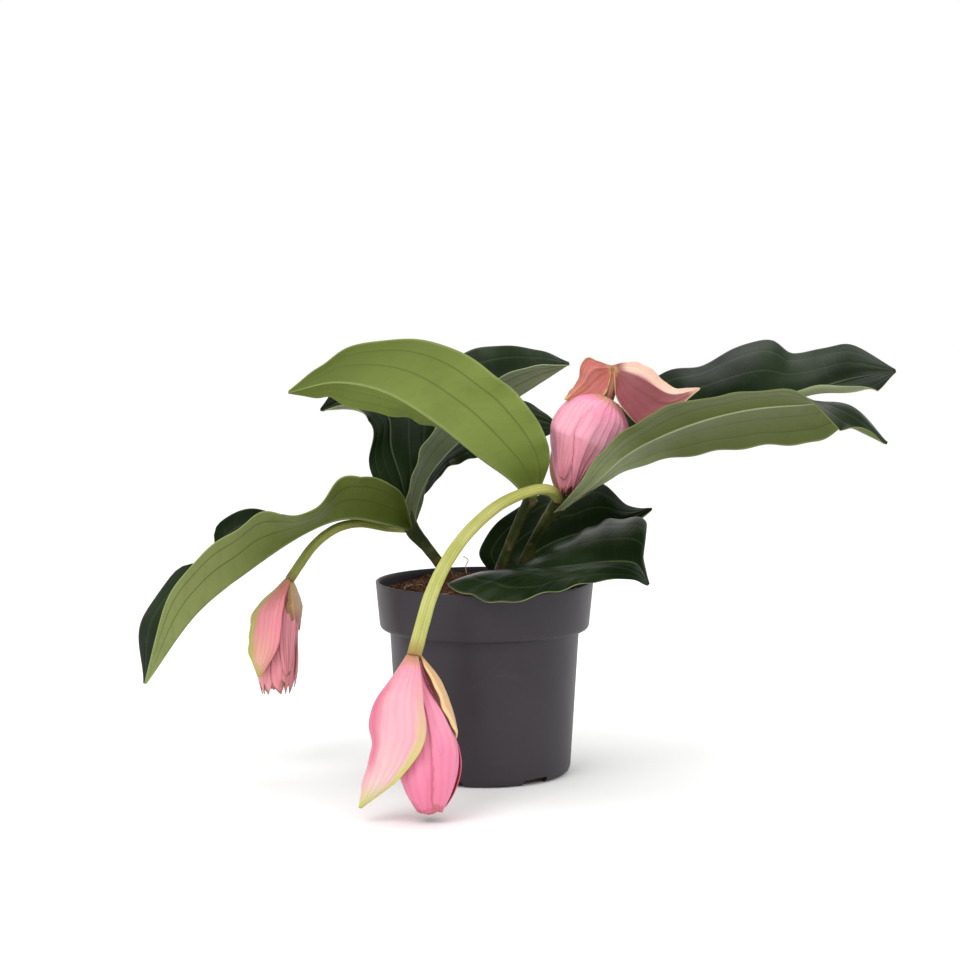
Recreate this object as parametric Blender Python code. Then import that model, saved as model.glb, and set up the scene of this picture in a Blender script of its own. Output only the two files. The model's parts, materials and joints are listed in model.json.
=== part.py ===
"""Potted medinilla: two-sided waved leaves on four-angled stems, three nodding flower heads with layered
bracts, soil and a thin-walled nursery pot. Metres, +Z up, the pot stands at the origin on z = 0."""

import math
import random

import bmesh
import bpy
from mathutils import Matrix, Vector

MM = 0.001

# Pot
POT_HEIGHT = 149.8 * MM
POT_RIM_RADIUS = 85.0 * MM
POT_COLLAR_BOTTOM_RADIUS = 81.7 * MM
POT_COLLAR_HEIGHT = 37.3 * MM
POT_NECK_RADIUS = 73.9 * MM
POT_BASE_RADIUS = 68.3 * MM
POT_WALL = 1.5 * MM
POT_LIP = 2.4 * MM
POT_CORNER = 5.0 * MM
POT_FLOOR = 2.0 * MM
POT_SEGMENTS = 48
NOTCH_COUNT = 6
NOTCH_WIDTH = 22.0 * MM
NOTCH_HEIGHT = 5.0 * MM
NOTCH_DEPTH = 9.0 * MM
NOTCH_FIRST_ANGLE = -54.0

# Free space kept between pieces that would otherwise touch
GAP = 0.35 * MM

# Soil
SOIL_EDGE_LEVEL = 141.5 * MM
SOIL_MOUND = 8.0 * MM
SOIL_MOUND_CENTRE = (-22.0 * MM, 42.0 * MM)
SOIL_MOUND_SPREAD = 22.0 * MM
SOIL_GRAIN = 0.9 * MM
SOIL_SEGMENTS = 32
SOIL_RINGS = (0.28, 0.52, 0.74, 0.92)

# Stems and flower stalks
STEM_RINGS = 13
PEDUNCLE_RINGS = 21
STEM_SIDES = 8
STEM_RIDGE = 0.07

# Leaves
TANGENT_STEP = 0.02
WAVE_OFFSET = 0.37
LEAF_ROWS = 12
LEAF_COLUMNS = 4
LEAF_THICKNESS = 0.9 * MM
MIDRIB_THICKNESS = 2.6 * MM
MIDRIB_SHARE = 0.25
LEAF_BULGE = 0.07
LEAST_HALF_WIDTH = 0.9 * MM

# Bracts and flower heads
BRACT_ROWS = 9
BRACT_COLUMNS = 3
BRACT_THICKNESS = 0.9 * MM
BRACT_BULGE = -0.12
BRACT_WAVE = (0.8, 2, 0.2)
INNER_BRACTS = 4
INNER_ROWS = 7
INNER_COLUMNS = 3
INNER_THICKNESS = 0.8 * MM
INNER_TWIST = 1.3 * MM
INNER_HALF_ANGLE = 64.0
INNER_TAPER_START = 0.62
INNER_TAPER_END = 1.02
INNER_TIP_LEAN = 0.1
INNER_KEEL = 0.3 * MM
CORE_FLARE = 1.5
CORE_SIDES = 12
CLUSTER_BUDS = 8
CLUSTER_START = 0.65
CLUSTER_TURN = 2.4
BUD_SIDES = 6
BUD_RINGS = ((-0.5, 0.85), (0.2, 1.0), (0.9, 0.6))
BUD_TIP = 1.5
CLUSTER_BUD_RADIUS = 2.5 * MM
CLUSTER_REACH = 3.1 * MM
RACHIS_RADIUS = 1.3
CORE_END = 0.12
CLUSTER_END = 0.60
SEED = 7

# Stems are given as centre-line points in millimetres and a radius at each point
STEMS = {
    "stem_left": (
        [(-23, 30, 133), (-31, 30, 152), (-45, 32, 171), (-57, 36, 185), (-61, 40, 199), (-63, 42, 211)],
        [5.0, 4.8, 4.6, 6.2, 4.6, 5.2],
    ),
    "stem_right_a": (
        [(8, 10, 133), (11, 10, 151), (20, 8, 177), (29, 6, 199), (37, 4, 214)],
        [4.8, 5.2, 4.4, 4.6, 6.0],
    ),
    "stem_right_b": (
        [(22, 22, 133), (27, 20, 151), (36, 14, 172), (47, 6, 193), (56, 3, 206), (61, 3, 217)],
        [4.8, 5.0, 4.8, 5.2, 6.8, 5.6],
    ),
}
PEDUNCLES = {
    "peduncle_front": (
        [(59, 2, 212), (50, -20, 222), (35, -36, 223), (11, -62, 215), (-11, -92, 199),
         (-27, -118, 180), (-38, -138, 159), (-44, -150, 140), (-50, -160, 118)],
        [4.0, 4.2, 4.4, 4.5, 4.5, 4.6, 4.8, 4.8, 5.0],
        ("stem_right_b",),
    ),
    "peduncle_left": (
        [(-57, 36, 186), (-77, 45, 186), (-98, 32, 191), (-113, 19, 190), (-125, 10, 184), (-135, 2, 175),
         (-143, -6, 164), (-151, -13, 152)],
        [3.2, 3.3, 3.4, 3.5, 3.5, 3.5, 3.5, 3.6],
        ("stem_left",),
    ),
    "peduncle_top": (
        [(61, 4, 214), (55, 34, 236), (62, 56, 264), (74, 54, 292), (87, 40, 308), (98, 24, 313),
         (101, 13, 306), (96, 9, 290)],
        [3.6, 3.6, 3.6, 3.6, 3.6, 3.8, 3.6, 3.6],
        ("stem_right_b", "peduncle_front"),
    ),
}

# Leaves: midrib, left margin and right margin in millimetres from base to tip, looking from above with the
# tip ahead, then wave height, wave count, wave phase and the stems that the base clasps
LEAVES = {
    "leaf_high_left": (
        [(37, 4, 210), (21, -6, 229), (-4, -16, 248), (-38, -34, 276), (-75, -50, 299), (-111, -65, 307),
         (-145, -76, 300)],
        [(40, 2, 213), (50, -14, 244), (43, -28, 271), (15, -46, 306), (-33, -64, 335), (-98, -76, 334),
         (-145, -76, 301)],
        [(34, 6, 213), (11, 34, 241), (-18, 44, 263), (-46, 12, 271), (-74, -22, 280), (-116, -50, 292),
         (-145, -76, 299)],
        (1.5, 3, 0.1),
        ("stem_right_a",),
    ),
    "leaf_low_left": (
        [(-57, 36, 185), (-73, 22, 191), (-107, 8, 198), (-138, -8, 189), (-179, -26, 163), (-220, -46, 130),
         (-255, -66, 80)],
        [(-57, 32, 187), (-68, 6, 221), (-103, -22, 231), (-134, -44, 204), (-176, -64, 206), (-230, -76, 157),
         (-256, -66, 81)],
        [(-57, 40, 183), (-74, 54, 198), (-112, 56, 203), (-145, 38, 192), (-201, 12, 196), (-262, -18, 126),
         (-257, -64, 80)],
        (1.5, 3, 0.4),
        ("stem_left",),
    ),
    "leaf_back_left": (
        [(-63, 42, 209), (-67, 46, 226), (-75, 54, 250), (-77, 62, 272), (-88, 66, 286), (-112, 66, 287),
         (-132, 60, 280)],
        [(-66, 42, 210), (-78, 40, 219), (-88, 44, 239), (-89, 50, 267), (-106, 52, 276), (-122, 54, 277),
         (-132, 60, 279)],
        [(-60, 43, 211), (-53, 54, 233), (-46, 70, 255), (-49, 86, 287), (-73, 88, 306), (-113, 78, 302),
         (-132, 60, 281)],
        (1.5, 2, 0.3),
        ("stem_left",),
    ),
    "leaf_back_centre": (
        [(-57, 36, 187), (-55, 40, 203), (-46, 50, 226), (-24, 62, 251), (11, 66, 279), (43, 60, 301),
         (68, 52, 317)],
        [(-55, 40, 189), (-46, 66, 219), (-40, 92, 253), (-32, 106, 310), (1, 102, 330), (44, 80, 327),
         (68, 54, 318)],
        [(-59, 33, 188), (-62, 30, 211), (-53, 32, 240), (-37, 38, 268), (0, 46, 298), (36, 48, 315),
         (68, 51, 316)],
        (1.5, 3, 0.7),
        ("stem_left",),
    ),
    "leaf_back_low": (
        [(-62, 41, 204), (-47, 82, 222), (-30, 98, 244), (-7, 114, 259), (19, 128, 267), (45, 138, 267),
         (65, 142, 260)],
        [(-62, 44, 206), (-56, 98, 238), (-38, 124, 264), (-14, 142, 281), (17, 152, 286), (44, 152, 278),
         (65, 143, 260)],
        [(-60, 42, 202), (-43, 72, 216), (-26, 78, 234), (-4, 90, 240), (22, 106, 246), (46, 124, 252),
         (65, 141, 259)],
        (1.5, 3, 0.2),
        ("stem_left",),
    ),
    "leaf_right_near": (
        [(56, 2, 202), (81, -24, 226), (110, -28, 252), (149, -32, 271), (192, -38, 284), (234, -42, 289),
         (275, -44, 289), (305, -40, 260)],
        [(58, 5, 203), (91, -4, 226), (129, 12, 240), (174, 20, 249), (219, 16, 253), (257, 6, 258),
         (282, -16, 272), (305, -39, 261)],
        [(54, -2, 203), (73, -38, 228), (95, -52, 259), (128, -66, 284), (177, -74, 299), (231, -76, 300),
         (268, -74, 267), (304, -41, 259)],
        (1.2, 3, 0.5),
        ("stem_right_b", "peduncle_front", "peduncle_top"),
    ),
    "leaf_right_back": (
        [(57, 3, 204), (92, 44, 234), (132, 50, 263), (177, 52, 282), (217, 54, 288), (255, 52, 294),
         (291, 44, 305), (325, 32, 312)],
        [(55, 5, 206), (92, 72, 252), (131, 90, 304), (177, 100, 313), (227, 104, 336), (263, 94, 325),
         (295, 72, 332), (325, 33, 313)],
        [(60, 2, 204), (102, 34, 228), (141, 34, 252), (178, 36, 266), (219, 32, 277), (262, 20, 290),
         (300, 16, 292), (325, 31, 311)],
        (1.2, 3, 0.0),
        ("stem_right_b", "peduncle_top"),
    ),
    "leaf_low_back": (
        [(30, 18, 157), (36, 36, 163), (51, 44, 172), (70, 48, 179), (93, 50, 185), (115, 48, 193),
         (134, 42, 202)],
        [(27, 20, 158), (-4, 54, 169), (13, 66, 189), (52, 80, 212), (93, 84, 219), (117, 68, 201),
         (134, 43, 202)],
        [(32, 17, 157), (44, 28, 157), (60, 26, 164), (79, 26, 170), (100, 30, 176), (119, 36, 186),
         (134, 41, 201)],
        (1.2, 2, 0.5),
        ("stem_right_b", "stem_right_a"),
    ),
    "leaf_low_front": (
        [(12, 10, 156), (32, -34, 161), (51, -48, 165), (71, -56, 168), (91, -60, 171), (110, -62, 171),
         (118, -62, 165), (123, -60, 154)],
        [(15, 9, 158), (36, 0, 165), (56, 8, 176), (80, 12, 189), (101, 8, 196), (125, -10, 198),
         (119, -38, 177), (124, -58, 155)],
        [(9, 8, 156), (-27, -66, 156), (-11, -92, 152), (13, -104, 146), (48, -106, 156), (77, -100, 161),
         (106, -84, 162), (122, -62, 154)],
        (1.0, 3, 0.6),
        ("stem_right_a", "stem_right_b"),
    ),
}

# Outer bracts: the same three lines, then the peduncle that they clasp
OUTER_BRACTS = {
    "outer_bract_front_left": (
        [(-50, -160, 119), (-59, -179, 90), (-61, -187, 62), (-70, -183, 36), (-88, -171, 11)],
        [(-55, -157, 118), (-79, -162, 81), (-81, -165, 53), (-86, -168, 28), (-89, -170, 11)],
        [(-47, -162, 118), (-43, -175, 89), (-42, -186, 62), (-60, -185, 35), (-87, -171, 11)],
        "peduncle_front",
    ),
    "outer_bract_front_right": (
        [(-47, -155, 119), (-31, -143, 95), (-25, -141, 69), (-23, -144, 46)],
        [(-46, -159, 118), (-34, -162, 91), (-22, -163, 66), (-23, -147, 46)],
        [(-48, -152, 119), (-38, -122, 94), (-31, -118, 67), (-24, -142, 46)],
        "peduncle_front",
    ),
    "outer_bract_left_left": (
        [(-152, -14, 153), (-166, -29, 129), (-170, -34, 104), (-174, -30, 79)],
        [(-155, -11, 152), (-179, -14, 126), (-183, -17, 101), (-175, -28, 79)],
        [(-150, -16, 152), (-155, -32, 131), (-157, -37, 106), (-172, -31, 79)],
        "peduncle_left",
    ),
    "outer_bract_left_right": (
        [(-150, -9, 152), (-144, -2, 133), (-145, -4, 112)],
        [(-149, -13, 152), (-143, -17, 133), (-144, -12, 112)],
        [(-151, -6, 152), (-147, 11, 131), (-145, 0, 112)],
        "peduncle_left",
    ),
    "outer_bract_top_right": (
        [(101, 14, 314), (122, 6, 307), (144, 0, 295), (166, -4, 299)],
        [(100, 18, 317), (122, 24, 319), (145, 18, 301), (167, -3, 300)],
        [(101, 10, 311), (109, -8, 288), (129, -12, 271), (166, -5, 299)],
        "peduncle_top",
    ),
    "outer_bract_top_left": (
        [(99, 15, 315), (84, 8, 314), (76, 2, 303), (63, 0, 291)],
        [(99, 11, 312), (92, -6, 302), (81, -10, 293), (64, -1, 290)],
        [(98, 19, 317), (79, 16, 322), (71, 10, 303), (62, 2, 291)],
        "peduncle_top",
    ),
}

# Closed heads: axis points and the radius at each of them, in millimetres, then the first bract's angle
HEADS = {
    "front": ([(-50, -160, 113), (-47, -156, 94), (-41, -160, 69), (-39, -164, 41), (-39, -166, 6)],
              [3.6, 5.0, 11.5, 20.5, 10.0], 20.0),
    "left": ([(-153, -14, 147), (-156, -12, 128), (-159, -12, 105), (-161, -13, 81), (-161, -14, 60)],
             [3.0, 7.5, 13.5, 14.5, 11.5], 50.0),
    "top": ([(95, 8, 286), (86, 8, 272), (78, 6, 254), (70, 0, 236), (64, -4, 219)],
            [5.0, 24.0, 28.0, 18.0, 6.0], 35.0),
}

COLOURS = {
    "pot": ((0.034, 0.032, 0.037), 0.45),
    "soil": ((0.055, 0.022, 0.012), 0.95),
    "stem": ((0.030, 0.065, 0.018), 0.55),
    "peduncle": ((0.360, 0.380, 0.085), 0.45),
    "leaf": ((0.035, 0.090, 0.032), 0.35),
    "outer_bract": ((0.760, 0.330, 0.370), 0.50),
    "inner_bracts": ((0.780, 0.220, 0.330), 0.50),
    "flower_buds": ((0.700, 0.240, 0.330), 0.50),
}


def clear_scene():
    for obj in list(bpy.data.objects):
        bpy.data.objects.remove(obj, do_unlink=True)


def material(name, colour, roughness):
    found = bpy.data.materials.new(name)
    found.use_nodes = True
    shader = found.node_tree.nodes["Principled BSDF"]
    shader.inputs["Base Color"].default_value = (*colour, 1.0)
    shader.inputs["Roughness"].default_value = roughness
    shader.inputs["Metallic"].default_value = 0.0
    return found


def add_object(name, points, faces):
    mesh = bpy.data.meshes.new(name)
    mesh.from_pydata([tuple(point) for point in points], [], faces)
    mesh.validate()
    obj = bpy.data.objects.new(name, mesh)
    bpy.context.scene.collection.objects.link(obj)
    return obj


def finish(obj, colour, roughness):
    obj.data.materials.clear()
    obj.data.materials.append(material(obj.name + "_colour", colour, roughness))
    for face in obj.data.polygons:
        face.use_smooth = True


def vectors(points):
    return [Vector(point) * MM for point in points]


def spline(points, t):
    """Point at t (0 to 1) on a smooth curve through evenly numbered points; it takes vectors and numbers."""
    last = len(points) - 1
    place = min(max(t, 0.0), 1.0) * last
    i = min(int(place), last - 1)
    u = place - i
    b, c = points[i], points[i + 1]
    a = points[i - 1] if i else b * 2 - c
    d = points[i + 2] if i + 2 <= last else c * 2 - b
    return b + ((c - a) + ((a * 2 - b * 5 + c * 4 - d) + (b * 3 - a - c * 3 + d) * u) * u) * (u * 0.5)


def sheet_points(lines, rows, columns, bulge, wave):
    """Rows of points on the middle of a leaf or bract, each from the left margin to the right one."""
    midrib, left, right = [vectors(line) for line in lines]
    height, count, phase = wave
    grid = []
    for i in range(rows):
        t = i / (rows - 1)
        centre = spline(midrib, t)
        along = spline(midrib, min(t + TANGENT_STEP, 1.0)) - spline(midrib, max(t - TANGENT_STEP, 0.0))
        row = []
        for j in range(-columns, columns + 1):
            share = abs(j) / columns
            margin = spline(left if j < 0 else right, t)
            reach = margin - centre
            if reach.length < LEAST_HALF_WIDTH:
                reach = reach.normalized() * LEAST_HALF_WIDTH
            up = along.cross(reach if j < 0 else -reach).normalized()
            lift = bulge * reach.length * 4 * share * (1 - share)
            turn = count * t + phase + (WAVE_OFFSET if j > 0 else 0.0)
            ripple = height * MM * share ** 2 * math.sin(math.pi * t) * math.sin(math.tau * turn)
            row.append(centre + reach * share + up * (lift + ripple))
        grid.append(row)
    return grid


def grid_normal(grid, i, j):
    rows, columns = len(grid) - 1, len(grid[0]) - 1
    along = grid[min(i + 1, rows)][j] - grid[max(i - 1, 0)][j]
    leftward = grid[i][max(j - 1, 0)] - grid[i][min(j + 1, columns)]
    return along.cross(leftward).normalized()


def solid_sheet(name, grid, thickness):
    """Closed thin solid on both sides of the grid; thickness(t, s) is in metres, s runs from -1 to 1."""
    rows, columns = len(grid), len(grid[0])
    upper, lower = [], []
    for i in range(rows):
        for j in range(columns):
            half = thickness(i / (rows - 1), 2 * j / (columns - 1) - 1) / 2
            normal = grid_normal(grid, i, j)
            upper.append(grid[i][j] + normal * half)
            lower.append(grid[i][j] - normal * half)
    under = rows * columns
    faces = []
    for i in range(rows - 1):
        for j in range(columns - 1):
            a = i * columns + j
            b, c, d = a + 1, a + 1 + columns, a + columns
            cuts = ((a, b, c), (a, c, d)) if (2 * j < columns - 1) else ((a, b, d), (b, c, d))
            for p, q, r in cuts:
                faces.append((p, q, r))
                faces.append((p + under, r + under, q + under))
    ring = list(range(columns))
    ring += [i * columns + columns - 1 for i in range(1, rows)]
    ring += [(rows - 1) * columns + j for j in range(columns - 2, -1, -1)]
    ring += [i * columns for i in range(rows - 2, 0, -1)]
    for p, q in zip(ring, ring[1:] + ring[:1]):
        faces.append((p, p + under, q))
        faces.append((q, p + under, q + under))
    obj = add_object(name, upper + lower, faces)
    face_outward(obj)
    return obj


def face_outward(obj):
    shape = bmesh.new()
    shape.from_mesh(obj.data)
    bmesh.ops.recalc_face_normals(shape, faces=shape.faces)
    if shape.calc_volume(signed=True) < 0:
        bmesh.ops.reverse_faces(shape, faces=shape.faces)
    shape.to_mesh(obj.data)
    shape.free()


def frames_along(points, count):
    """Evenly spaced (t, centre, side, other side) along a centre line, with no twist between them."""
    found = []
    side = None
    for i in range(count):
        t = i / (count - 1)
        ahead = spline(points, min(t + TANGENT_STEP / 2, 1.0))
        behind = spline(points, max(t - TANGENT_STEP / 2, 0.0))
        along = (ahead - behind).normalized()
        if side is None:
            side = Vector((1, 0, 0))
        side = (side - along * side.dot(along)).normalized()
        found.append((t, spline(points, t), side, along.cross(side)))
    return found


def tube(name, points, radii, rings, sides, ridge=0.0, grow=0.0):
    """Solid stem through the points; ridge lifts every second edge, grow adds the same on all sides."""
    points = vectors(points)
    if grow:
        points[0] = points[0] + (points[0] - points[1]).normalized() * grow
        points[-1] = points[-1] + (points[-1] - points[-2]).normalized() * grow
    corners = []
    for t, centre, side, other in frames_along(points, rings):
        radius = spline(radii, t) * MM + grow
        for k in range(sides):
            angle = math.tau * k / sides
            reach = radius * (1 + (ridge if k % 2 else -ridge))
            corners.append(centre + side * (reach * math.cos(angle)) + other * (reach * math.sin(angle)))
    faces = [tuple(range(sides - 1, -1, -1)), tuple(range((rings - 1) * sides, rings * sides))]
    for i in range(rings - 1):
        for k in range(sides):
            n = (k + 1) % sides
            faces.append((i * sides + k, i * sides + n, (i + 1) * sides + n, (i + 1) * sides + k))
    obj = add_object(name, corners, faces)
    face_outward(obj)
    return obj


def boolean(obj, others, operation):
    """Applies one Boolean with all of the other objects, then removes them."""
    group = bpy.data.collections.new("group")
    bpy.context.scene.collection.children.link(group)
    for other in others:
        bpy.context.scene.collection.objects.unlink(other)
        group.objects.link(other)
    modifier = obj.modifiers.new("Boolean", "BOOLEAN")
    modifier.operation = operation
    modifier.operand_type = "COLLECTION"
    modifier.collection = group
    modifier.solver = "MANIFOLD"
    bpy.context.view_layer.objects.active = obj
    bpy.context.view_layer.update()
    graph = bpy.context.evaluated_depsgraph_get()
    mesh = bpy.data.meshes.new_from_object(obj.evaluated_get(graph), depsgraph=graph)
    obj.modifiers.clear()
    obj.data = mesh
    for other in others:
        bpy.data.objects.remove(other, do_unlink=True)
    bpy.data.collections.remove(group)
    keep_largest(obj)


def keep_largest(obj):
    """Drops scrap that a cut left beside the main body."""
    shape = bmesh.new()
    shape.from_mesh(obj.data)
    shape.verts.ensure_lookup_table()
    unseen = set(shape.verts)
    islands = []
    while unseen:
        stack = [unseen.pop()]
        island = []
        while stack:
            vert = stack.pop()
            island.append(vert)
            for edge in vert.link_edges:
                other = edge.other_vert(vert)
                if other in unseen:
                    unseen.remove(other)
                    stack.append(other)
        islands.append(island)
    islands.sort(key=len)
    for island in islands[:-1]:
        bmesh.ops.delete(shape, geom=island, context="VERTS")
    shape.to_mesh(obj.data)
    shape.free()


def stem_cutter(name):
    if name in STEMS:
        points, radii = STEMS[name]
        return tube("cutter_" + name, points, radii, STEM_RINGS, STEM_SIDES, STEM_RIDGE, GAP)
    points, radii, _ = PEDUNCLES[name]
    return tube("cutter_" + name, points, radii, PEDUNCLE_RINGS, STEM_SIDES, 0.0, GAP)


def make_stems():
    for name, (points, radii) in STEMS.items():
        obj = tube(name, points, radii, STEM_RINGS, STEM_SIDES, STEM_RIDGE)
        finish(obj, *COLOURS["stem"])


def make_peduncles():
    for name, (points, radii, held_by) in PEDUNCLES.items():
        obj = tube(name, points, radii, PEDUNCLE_RINGS, STEM_SIDES)
        boolean(obj, [stem_cutter(stem) for stem in held_by], "DIFFERENCE")
        finish(obj, *COLOURS["peduncle"])


def leaf_thickness(t, s):
    rib = MIDRIB_THICKNESS * (1 - 0.7 * t)
    near_midrib = max(0.0, 1 - abs(s) / MIDRIB_SHARE) ** 2
    return LEAF_THICKNESS + max(rib - LEAF_THICKNESS, 0.0) * near_midrib


def make_leaves():
    for name, (midrib, left, right, wave, held_by) in LEAVES.items():
        grid = sheet_points((midrib, left, right), LEAF_ROWS, LEAF_COLUMNS, LEAF_BULGE, wave)
        obj = solid_sheet(name, grid, leaf_thickness)
        boolean(obj, [stem_cutter(stem) for stem in held_by], "DIFFERENCE")
        finish(obj, *COLOURS["leaf"])


def make_outer_bracts():
    for name, (midrib, left, right, held_by) in OUTER_BRACTS.items():
        lines = (midrib, left, right)
        grid = sheet_points(lines, BRACT_ROWS, BRACT_COLUMNS, BRACT_BULGE, BRACT_WAVE)
        obj = solid_sheet(name, grid, lambda t, s: BRACT_THICKNESS)
        boolean(obj, [stem_cutter(held_by)], "DIFFERENCE")
        finish(obj, *COLOURS["outer_bract"])


def inner_bract(name, axis, radii, centre_angle, rng):
    """One cupped bract of a closed head, with one margin outside its neighbour's."""
    grid = []
    tip_lean = rng.uniform(-INNER_TIP_LEAN, INNER_TIP_LEAN)
    for t, centre, side, other in frames_along(axis, INNER_ROWS):
        past = max(t - INNER_TAPER_START, 0) / (INNER_TAPER_END - INNER_TAPER_START)
        taper = math.sqrt(max(1 - past ** 2, 0.02))
        span = math.radians(INNER_HALF_ANGLE) * taper
        row = []
        for j in range(-INNER_COLUMNS, INNER_COLUMNS + 1):
            s = j / INNER_COLUMNS
            angle = centre_angle + span * s + tip_lean * t
            radius = spline(radii, t) * MM + INNER_TWIST * s - INNER_KEEL * math.cos(math.tau * s)
            row.append(centre + side * (radius * math.cos(angle)) + other * (radius * math.sin(angle)))
        grid.append(row)
    return solid_sheet(name, grid, lambda t, s: INNER_THICKNESS)


def small_bud(centre, outward):
    """Pointed round flower bud whose tip looks outward."""
    side = outward.orthogonal().normalized()
    other = outward.cross(side)
    points = [centre - outward * CLUSTER_BUD_RADIUS]
    for rise, width in BUD_RINGS:
        for k in range(BUD_SIDES):
            angle = math.tau * k / BUD_SIDES
            around = side * math.cos(angle) + other * math.sin(angle)
            points.append(centre + (outward * rise + around * width) * CLUSTER_BUD_RADIUS)
    points.append(centre + outward * CLUSTER_BUD_RADIUS * BUD_TIP)
    first, middle, last = [1 + ring * BUD_SIDES for ring in range(len(BUD_RINGS))]
    faces = []
    for k in range(BUD_SIDES):
        n = (k + 1) % BUD_SIDES
        faces.append((0, first + n, first + k))
        faces.append((first + k, first + n, middle + n, middle + k))
        faces.append((middle + k, middle + n, last + n, last + k))
        faces.append((last + k, last + n, len(points) - 1))
    obj = add_object("small_bud", points, faces)
    face_outward(obj)
    return obj


def make_flower_cluster(name, points):
    """Young flower buds on their stalk, inside a closed head."""
    start = spline(points, CORE_END)
    along = (spline(points, CORE_END + TANGENT_STEP) - start).normalized()
    line = [start + along * 2 * GAP]
    line += [spline(points, CORE_END + (CLUSTER_END - CORE_END) * share) for share in (0.33, 0.66, 1.0)]
    radii = [RACHIS_RADIUS] * len(line)
    stalk = tube("flower_buds_" + name, [point / MM for point in line], radii, len(line), BUD_SIDES)
    buds = []
    for k in range(CLUSTER_BUDS):
        t = CLUSTER_START + (1 - CLUSTER_START) * k / (CLUSTER_BUDS - 1)
        along = spline(line, min(t + 0.05, 1.0)) - spline(line, t - 0.05)
        turn = Matrix.Rotation(CLUSTER_TURN * k, 3, along.normalized())
        outward = turn @ along.orthogonal().normalized()
        buds.append(small_bud(spline(line, t) + outward * CLUSTER_REACH, outward))
    boolean(stalk, buds, "UNION")
    finish(stalk, *COLOURS["flower_buds"])


def make_heads():
    rng = random.Random(SEED)
    for name, (axis, radii, first) in HEADS.items():
        points = vectors(axis)
        make_flower_cluster(name, points)
        core_line = [axis[0], spline(points, CORE_END) / MM]
        core_radii = [radii[0], radii[0] + CORE_FLARE]
        core = tube("inner_bracts_" + name, core_line, core_radii, 3, CORE_SIDES)
        bracts = []
        for k in range(INNER_BRACTS):
            angle = math.radians(first) + math.tau * k / INNER_BRACTS
            bracts.append(inner_bract("bract", points, radii, angle, rng))
        boolean(core, bracts, "UNION")
        finish(core, *COLOURS["inner_bracts"])


def make_pot():
    collar_low = POT_HEIGHT - POT_COLLAR_HEIGHT
    outline = [
        (0.0, 0.0),
        (POT_BASE_RADIUS - POT_CORNER, 0.0),
        (POT_BASE_RADIUS - 0.3 * POT_CORNER, 0.3 * POT_CORNER),
        (POT_BASE_RADIUS, POT_CORNER),
        (POT_NECK_RADIUS, collar_low - 1.0 * MM),
        (POT_COLLAR_BOTTOM_RADIUS - POT_CORNER, collar_low),
        (POT_COLLAR_BOTTOM_RADIUS - 0.8 * MM, collar_low + 2.6 * MM),
        (POT_COLLAR_BOTTOM_RADIUS, collar_low + 6.0 * MM),
        (POT_RIM_RADIUS, POT_HEIGHT - 1.0 * MM),
        (POT_RIM_RADIUS - 0.6 * MM, POT_HEIGHT),
        (POT_RIM_RADIUS - POT_LIP, POT_HEIGHT),
        (POT_RIM_RADIUS - POT_LIP - 0.4 * MM, POT_HEIGHT - 2.0 * MM),
        (POT_COLLAR_BOTTOM_RADIUS - POT_WALL, collar_low + 6.0 * MM),
        (POT_NECK_RADIUS - POT_WALL, collar_low + 1.0 * MM),
        (POT_BASE_RADIUS - POT_WALL, POT_CORNER + POT_FLOOR),
        (POT_BASE_RADIUS - POT_CORNER, POT_FLOOR),
        (0.0, POT_FLOOR),
    ]
    obj = revolved("pot", outline, POT_SEGMENTS)
    notches = []
    for k in range(NOTCH_COUNT):
        angle = math.radians(NOTCH_FIRST_ANGLE) + math.tau * k / NOTCH_COUNT
        notches.append(notch_block(angle))
    boolean(obj, notches, "DIFFERENCE")
    finish(obj, *COLOURS["pot"])


def notch_block(angle):
    shape = bmesh.new()
    bmesh.ops.create_cube(shape, size=1.0)
    bmesh.ops.scale(shape, vec=(2 * NOTCH_DEPTH, NOTCH_WIDTH, 2 * NOTCH_HEIGHT), verts=shape.verts)
    bmesh.ops.translate(shape, vec=(POT_BASE_RADIUS, 0, 0), verts=shape.verts)
    bmesh.ops.rotate(shape, cent=(0, 0, 0), matrix=Matrix.Rotation(angle, 3, "Z"), verts=shape.verts)
    mesh = bpy.data.meshes.new("notch")
    shape.to_mesh(mesh)
    shape.free()
    obj = bpy.data.objects.new("notch", mesh)
    bpy.context.scene.collection.objects.link(obj)
    return obj


def revolved(name, outline, segments):
    """Closed solid of revolution; an outline point on the axis becomes one shared point."""
    points, rings = [], []
    for radius, z in outline:
        if radius == 0.0:
            rings.append([len(points)])
            points.append(Vector((0, 0, z)))
            continue
        rings.append(list(range(len(points), len(points) + segments)))
        for k in range(segments):
            angle = math.tau * k / segments
            points.append(Vector((radius * math.cos(angle), radius * math.sin(angle), z)))
    faces = []
    for low, high in zip(rings, rings[1:]):
        for k in range(segments):
            n = (k + 1) % segments
            if len(low) == 1:
                faces.append((low[0], high[n], high[k]))
            elif len(high) == 1:
                faces.append((low[k], low[n], high[0]))
            else:
                faces.append((low[k], low[n], high[n], high[k]))
    obj = add_object(name, points, faces)
    face_outward(obj)
    return obj


def soil_level(x, y, rng):
    dx = x - SOIL_MOUND_CENTRE[0]
    dy = y - SOIL_MOUND_CENTRE[1]
    mound = math.exp(-(dx * dx + dy * dy) / (2 * SOIL_MOUND_SPREAD ** 2))
    return SOIL_EDGE_LEVEL + SOIL_MOUND * mound + rng.uniform(-1, 1) * SOIL_GRAIN


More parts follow.
